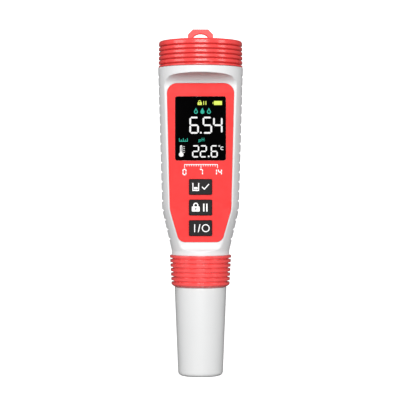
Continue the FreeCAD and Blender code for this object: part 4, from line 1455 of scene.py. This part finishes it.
def addScreenMarks(values):
    addMark("batteryMark", batteryShape(*photoArea(values["battery"])), lensFront, "screen_yellow")
    spot = values["lock"]
    hold = padlock(*fromPhoto(spot["x"], spot["y"]), spot["size"])
    bars = values["pause"]
    for px in bars["lefts"]:
        left, bottom = fromPhoto(px, bars["bottom"])
        right, top = fromPhoto(px + bars["width"], bars["top"])
        hold.append(box2d(left, right, bottom, top))
    addMark("holdMark", hold, lensFront, "screen_yellow")
    drops = []
    for index, px in enumerate(values["drops"]["xs"]):
        x, z = fromPhoto(px, values["drops"]["y"])
        drops += droplet(x, z, values["drops"]["size"], hollow=index != 1)
    addMark("dropMarks", drops, lensFront, "screen_teal")
    rule = values["rule"]
    left, right, bottom, top = photoArea(rule)
    shapes = [box2d(left, right, bottom, bottom + 0.35)]
    for index in range(rule["ticks"]):
        x = between(left + 0.17, right - 0.17, index / (rule["ticks"] - 1))
        height = top if index % 2 == 0 else between(bottom, top, 0.6)
        shapes.append(box2d(x - 0.17, x + 0.17, bottom + 0.35, height))
    addMark("ruleMark", shapes, lensFront, "screen_teal")
    unit = values["unit"]
    left, bottom = fromPhoto(unit["left"], unit["bottom"])
    height = unit["height"]
    letters = letterP(left, bottom - 0.1 * height, 0.8 * height, 0.25)
    letters += letterH(left + 0.77 * height, bottom + 0.2 * height, 0.86 * height, 0.62 * height, 0.25)
    addMark("unitMark", letters, lensFront, "screen_teal")
    stick = values["thermometer"]
    x, bottom = fromPhoto(stick["x"], stick["bottom"])
    x, top = fromPhoto(stick["x"], stick["top"])
    addMark("thermometerMark", thermometer(x, bottom, top), lensFront, "screen_white")
    degree = values["degree"]
    x, z = fromPhoto(degree["x"], degree["y"])
    radius = degree["radius"] * photoScale
    shapes = [circle2d(x, z, radius, 20), circle2d(x, z, 0.5 * radius, 16)]
    celsius = values["celsius"]
    x, z = fromPhoto(celsius["x"], celsius["y"])
    shapes.append(openRing(x, z, celsius["radius"] * photoScale, 0.36, 45, 315))
    addMark("degreeMark", shapes, lensFront, "screen_white")


addScreenMarks(screenMarks)

# White prints on the keys: beaker and tick, padlock and pause, bar / ring

keyPrint = {
    "spread": 2.35,                             # distance of the two marks from the key's middle
    "size": 3.9,
    "stroke": 0.46,
    "barOffset": 0.75,                          # of each pause bar from their middle
    "barHalf": 0.32,
}


def beakerShape(x, z, size, stroke):
    half = 0.42 * size
    low = z - size / 2
    high = z + size / 2
    lip = 0.3
    floor = low + stroke
    wall = [
        (x - half - lip, high), (x - half, high - lip), (x - half, low), (x + half, low),
        (x + half, high - lip), (x + half + lip, high), (x + half - stroke, high),
        (x + half - stroke, floor), (x - half + stroke, floor), (x - half + stroke, high),
    ]
    liquid = box2d(x - half + 1.6 * stroke, x + half - 1.6 * stroke, low + 1.6 * stroke, z - 0.02 * size)
    return [wall, liquid]


def tickShape(x, z, size, stroke):
    cut = stroke * 0.72
    return [[
        (x - 0.46 * size, z - 0.02 * size), (x - 0.46 * size + cut, z - 0.02 * size + cut),
        (x - 0.12 * size, z - 0.2 * size), (x + 0.42 * size, z + 0.42 * size),
        (x + 0.42 * size + cut, z + 0.42 * size - cut), (x - 0.12 * size, z - 0.2 * size - 2 * cut),
    ]]


def barSlashRing(z, size, stroke):
    # upright bar, a slanted stroke and a ring
    spread = keyPrint["spread"] + 0.55
    half = size / 2
    bar = box2d(-spread - stroke / 2, -spread + stroke / 2, z - half, z + half)
    slash = [(-1.35, z - half), (-1.35 + stroke, z - half), (-0.05, z + half), (-0.05 - stroke, z + half)]
    ringShape = [circle2d(spread - 0.35, z, half, 40), circle2d(spread - 0.35, z, half - stroke, 36)]
    return [bar, slash] + ringShape


def keyMarks(name):
    z = keyCentre(name)
    spread = keyPrint["spread"]
    size = keyPrint["size"]
    stroke = keyPrint["stroke"]
    if name == "calibrate":
        return beakerShape(-spread, z, size, stroke) + tickShape(spread, z, size, stroke)
    if name == "hold":
        bars = []
        half = keyPrint["barHalf"]
        for x in (spread - keyPrint["barOffset"], spread + keyPrint["barOffset"]):
            bars.append(box2d(x - half, x + half, z - size / 2, z + size / 2))
        return padlock(-spread, z, size) + bars
    return barSlashRing(z, size, stroke)


for name in keyNames:
    front = lowMm(name + "_button").y
    addMark(name + "Print", keyMarks(name), front, "print_white", name + "_key")

# Printed scale below the display, with plain numbers

scale = {
    "left": 184.0,                              # first and last tick, in pixels of the photograph
    "right": 217.0,
    "tickTop": 164.6,
    "numberTop": 168.6,
    "numberBottom": 175.0,
    "ticks": 15,
    "every": 7,
    "tickHeight": 0.75,
    "longTick": 1.6,
    "tickWidth": 0.26,
    "lineHeight": 0.28,
    "numbers": ("0", "7", "14"),
}


def addScale(values):
    left, top = fromPhoto(values["left"], values["tickTop"])
    right, top = fromPhoto(values["right"], values["tickTop"])
    seed = newPiece("scaleTicks", [(0, 0, 0)], [], finish["print_white"])
    runTree(seed, tickRow, {
        "Count": values["ticks"], "Spacing": (right - left) / (values["ticks"] - 1) * mm,
        "Width": values["tickWidth"] * mm, "Height": values["tickHeight"] * mm,
        "Long Height": values["longTick"] * mm, "Every": values["every"], "Thickness": ink * mm,
    }, finish["print_white"], 60.0)
    seed.data.transform(Matrix.Translation(Vector((left, plateFront - ink / 2, top)) * mm))
    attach(seed, "housing")
    edge = values["tickWidth"] / 2
    outlines = [box2d(left - edge, right + edge, top, top + values["lineHeight"])]
    height = (values["numberBottom"] - values["numberTop"]) * photoScale
    width = 0.62 * height
    stroke = 0.16 * height
    for index, number in enumerate(values["numbers"]):
        x = between(left, right, index / (len(values["numbers"]) - 1))
        bottom = fromPhoto(0, values["numberBottom"])[1]
        total = len(number) * width + (len(number) - 1) * 0.25 * width
        for place, digit in enumerate(number):
            digitLeft = x - total / 2 + place * 1.25 * width
            outlines += segmentOutlines(digit, digitLeft, bottom, width, height, stroke)
    addMark("scaleNumbers", outlines, plateFront, "print_white")


addScale(scale)

print("stage: screw cap")

screwCap = {
    "bottom": lowMm("battery_cap").z,
    "height": 13.35,
    "footRadius": 21.0,
    "topRadius": 20.8,
    "crownRadius": 18.0,
    "crownDrop": 0.35,
    "rimRounding": 1.3,
    "crownRounding": 3.0,
    "ceiling": 2.0,
    "bore": 18.45,
    "seatRadius": 19.65,
    "seatHeight": 1.25,
    "ridgePitch": 2.25,
    "firstGroove": 1.25,                        # above the foot
    "grooves": 5,
    "grooveDepth": 0.9,
    "crest": 0.45,                              # ridge and root meet between these shares of half a pitch
    "root": 1.0,
    "loopHalfWidth": 6.3,
    "loopTopHalfWidth": 3.8,
    "loopHeight": 5.75,
    "loopSideHeight": 3.2,
    "loopThickness": 3.2,
    "loopHole": (4.3, 3.6),                     # half width and height of the arch
    "loopRoot": 0.5,
}


def addScrewCap(values):
    low = values["bottom"]
    high = low + values["height"]
    red = finish["red_ring"]
    path = roundedPath([
        (values["seatRadius"], low, 0.2),
        (values["footRadius"], low, 0.25),
        (values["topRadius"], high - values["crownDrop"], values["rimRounding"]),
        (values["crownRadius"], high, values["crownRounding"]),
        (0, high),
        (0, high - values["ceiling"]),
        (values["bore"], high - values["ceiling"], 0.6),
        (values["bore"], low + values["seatHeight"]),
        (values["seatRadius"], low + values["seatHeight"]),
    ], steps=8, closed=True)
    pitch = values["ridgePitch"]
    path = dividedPath(path, 0.09, low, high - values["crownDrop"] + 0.4)
    drum = lathe("screwCapDrum", path, red, 192)
    first = low + values["firstGroove"]
    last = first + (values["grooves"] - 0.5) * pitch
    ridged(drum, {
        "Low": first - pitch, "High": last, "Pitch": pitch, "Phase": 0.0,
        "Depth": values["grooveDepth"], "Crest": values["crest"], "Root": values["root"], "Starts": 0,
        "Inner Limit": values["seatRadius"] + 0.4, "Fade": 0.05,
    }, red)
    side = high + values["loopSideHeight"]
    top = high + values["loopHeight"]
    root = high - values["loopRoot"]
    hole, rise = values["loopHole"]
    outline = roundedPath([
        (values["loopHalfWidth"], root), (values["loopHalfWidth"], side, 0.6),
        (values["loopTopHalfWidth"], top, 0.6), (-values["loopTopHalfWidth"], top, 0.6),
        (-values["loopHalfWidth"], side, 0.6), (-values["loopHalfWidth"], root), (-hole, root),
    ], steps=4, closed=True)
    turns = [math.pi * step / 28 for step in range(29)]
    arch = [(-hole * math.cos(turn), high - 0.1 + rise * math.sin(turn)) for turn in turns]
    shape = [tuple(point) for point in outline] + arch + [(hole, root)]
    half = values["loopThickness"] / 2
    loop = flatPiece("lanyardLoop", [shape], 2 * half, 0.35, -half, red, 3)
    cap = joinedPiece("screwCap", [drum, loop])
    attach(cap, "screw_cap")
    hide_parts("battery_cap")


addScrewCap(screwCap)

print("stage: collar")

collar = {
    "bottom": lowMm("collar").z,
    "height": 15.7,
    "topRadius": 15.35,
    "footRadius": 14.5,
    "bevelHeight": 1.1,
    "bevelWidth": 1.5,
    "fins": 7,
    "finHeight": 1.1,
    "grooveDepth": 1.2,
    "crest": 0.58,
    "root": 0.70,
    "lipHeight": 3.0,
    "lipBore": 10.55,
    "bore": 12.35,
}


def addCollar(values):
    low = values["bottom"]
    high = low + values["height"]
    bevelTop = low + values["bevelHeight"]
    pitch = (high - bevelTop - values["finHeight"]) / (values["fins"] - 1)
    red = finish["red_collar"]
    path = roundedPath([
        (values["lipBore"], low, 0.2),
        (values["footRadius"] - values["bevelWidth"], low, 0.25),
        (values["footRadius"], bevelTop, 0.2),
        (values["topRadius"], high, 0.2),
        (values["bore"], high, 0.2),
        (values["bore"], low + values["lipHeight"]),
        (values["lipBore"], low + values["lipHeight"], 0.2),
    ], steps=4, closed=True)
    path = dividedPath(path, 0.1, bevelTop - 0.3, high)
    piece = lathe("collarNut", path, red, 168)
    ridged(piece, {
        "Low": bevelTop + values["finHeight"] / 2, "High": high - 0.1, "Pitch": pitch, "Phase": 0.5,
        "Depth": values["grooveDepth"], "Crest": values["crest"], "Root": values["root"], "Starts": 0,
        "Inner Limit": values["bore"] + 0.4, "Fade": 0.02,
    }, red)
    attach(piece, "ring_nut")
    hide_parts("collar")


addCollar(collar)

print("stage: protective cap and seals")

guardCap = {
    "length": highMm("protective_cap").z,
    "baseRadius": 11.12,
    "mouthRadius": 12.92,
    "corner": 2.0,
    "wall": 1.7,
    "floor": 2.0,
}


def addGuardCap(values):
    base = values["baseRadius"]
    mouth = values["mouthRadius"]
    high = values["length"]
    wall = values["wall"]
    path = roundedPath([
        (0, 0),
        (base, 0, values["corner"]),
        (mouth, high, 0.35),
        (mouth - wall, high, 0.45),
        (base - wall, values["floor"], values["corner"] / 2),
        (0, values["floor"]),
    ], steps=10, closed=True)
    path = dividedPath(path, 1.0, 0, high)
    piece = lathe("guardCap", path, finish["grey_cap"], 168)
    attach(piece, "probe_cap")
    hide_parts("protective_cap")


addGuardCap(guardCap)


def addSeal(name, node, body):
    # ring of round section, with the fine flash line of its mould
    low, high = lowMm(node), highMm(node)
    section = (high.z - low.z) / 2
    middle = high.x - section
    centre = (low.z + high.z) / 2
    path = []
    count = 32
    for index in range(count):
        turn = 2 * math.pi * index / count
        flash = 1.0 if index % (count // 2) else 1.012
        path.append((middle + section * flash * math.cos(turn), centre + section * math.sin(turn)))
    piece = lathe(name, path, finish["black_rubber"], 128, 60.0)
    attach(piece, body)
    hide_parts(node)


addSeal("mouthSeal", "cap_gasket", "gasket_ring")
addSeal("plugSeal", "collar_seal", "electrode")
addSeal("guardSeal", "cap_seal", "electrode")
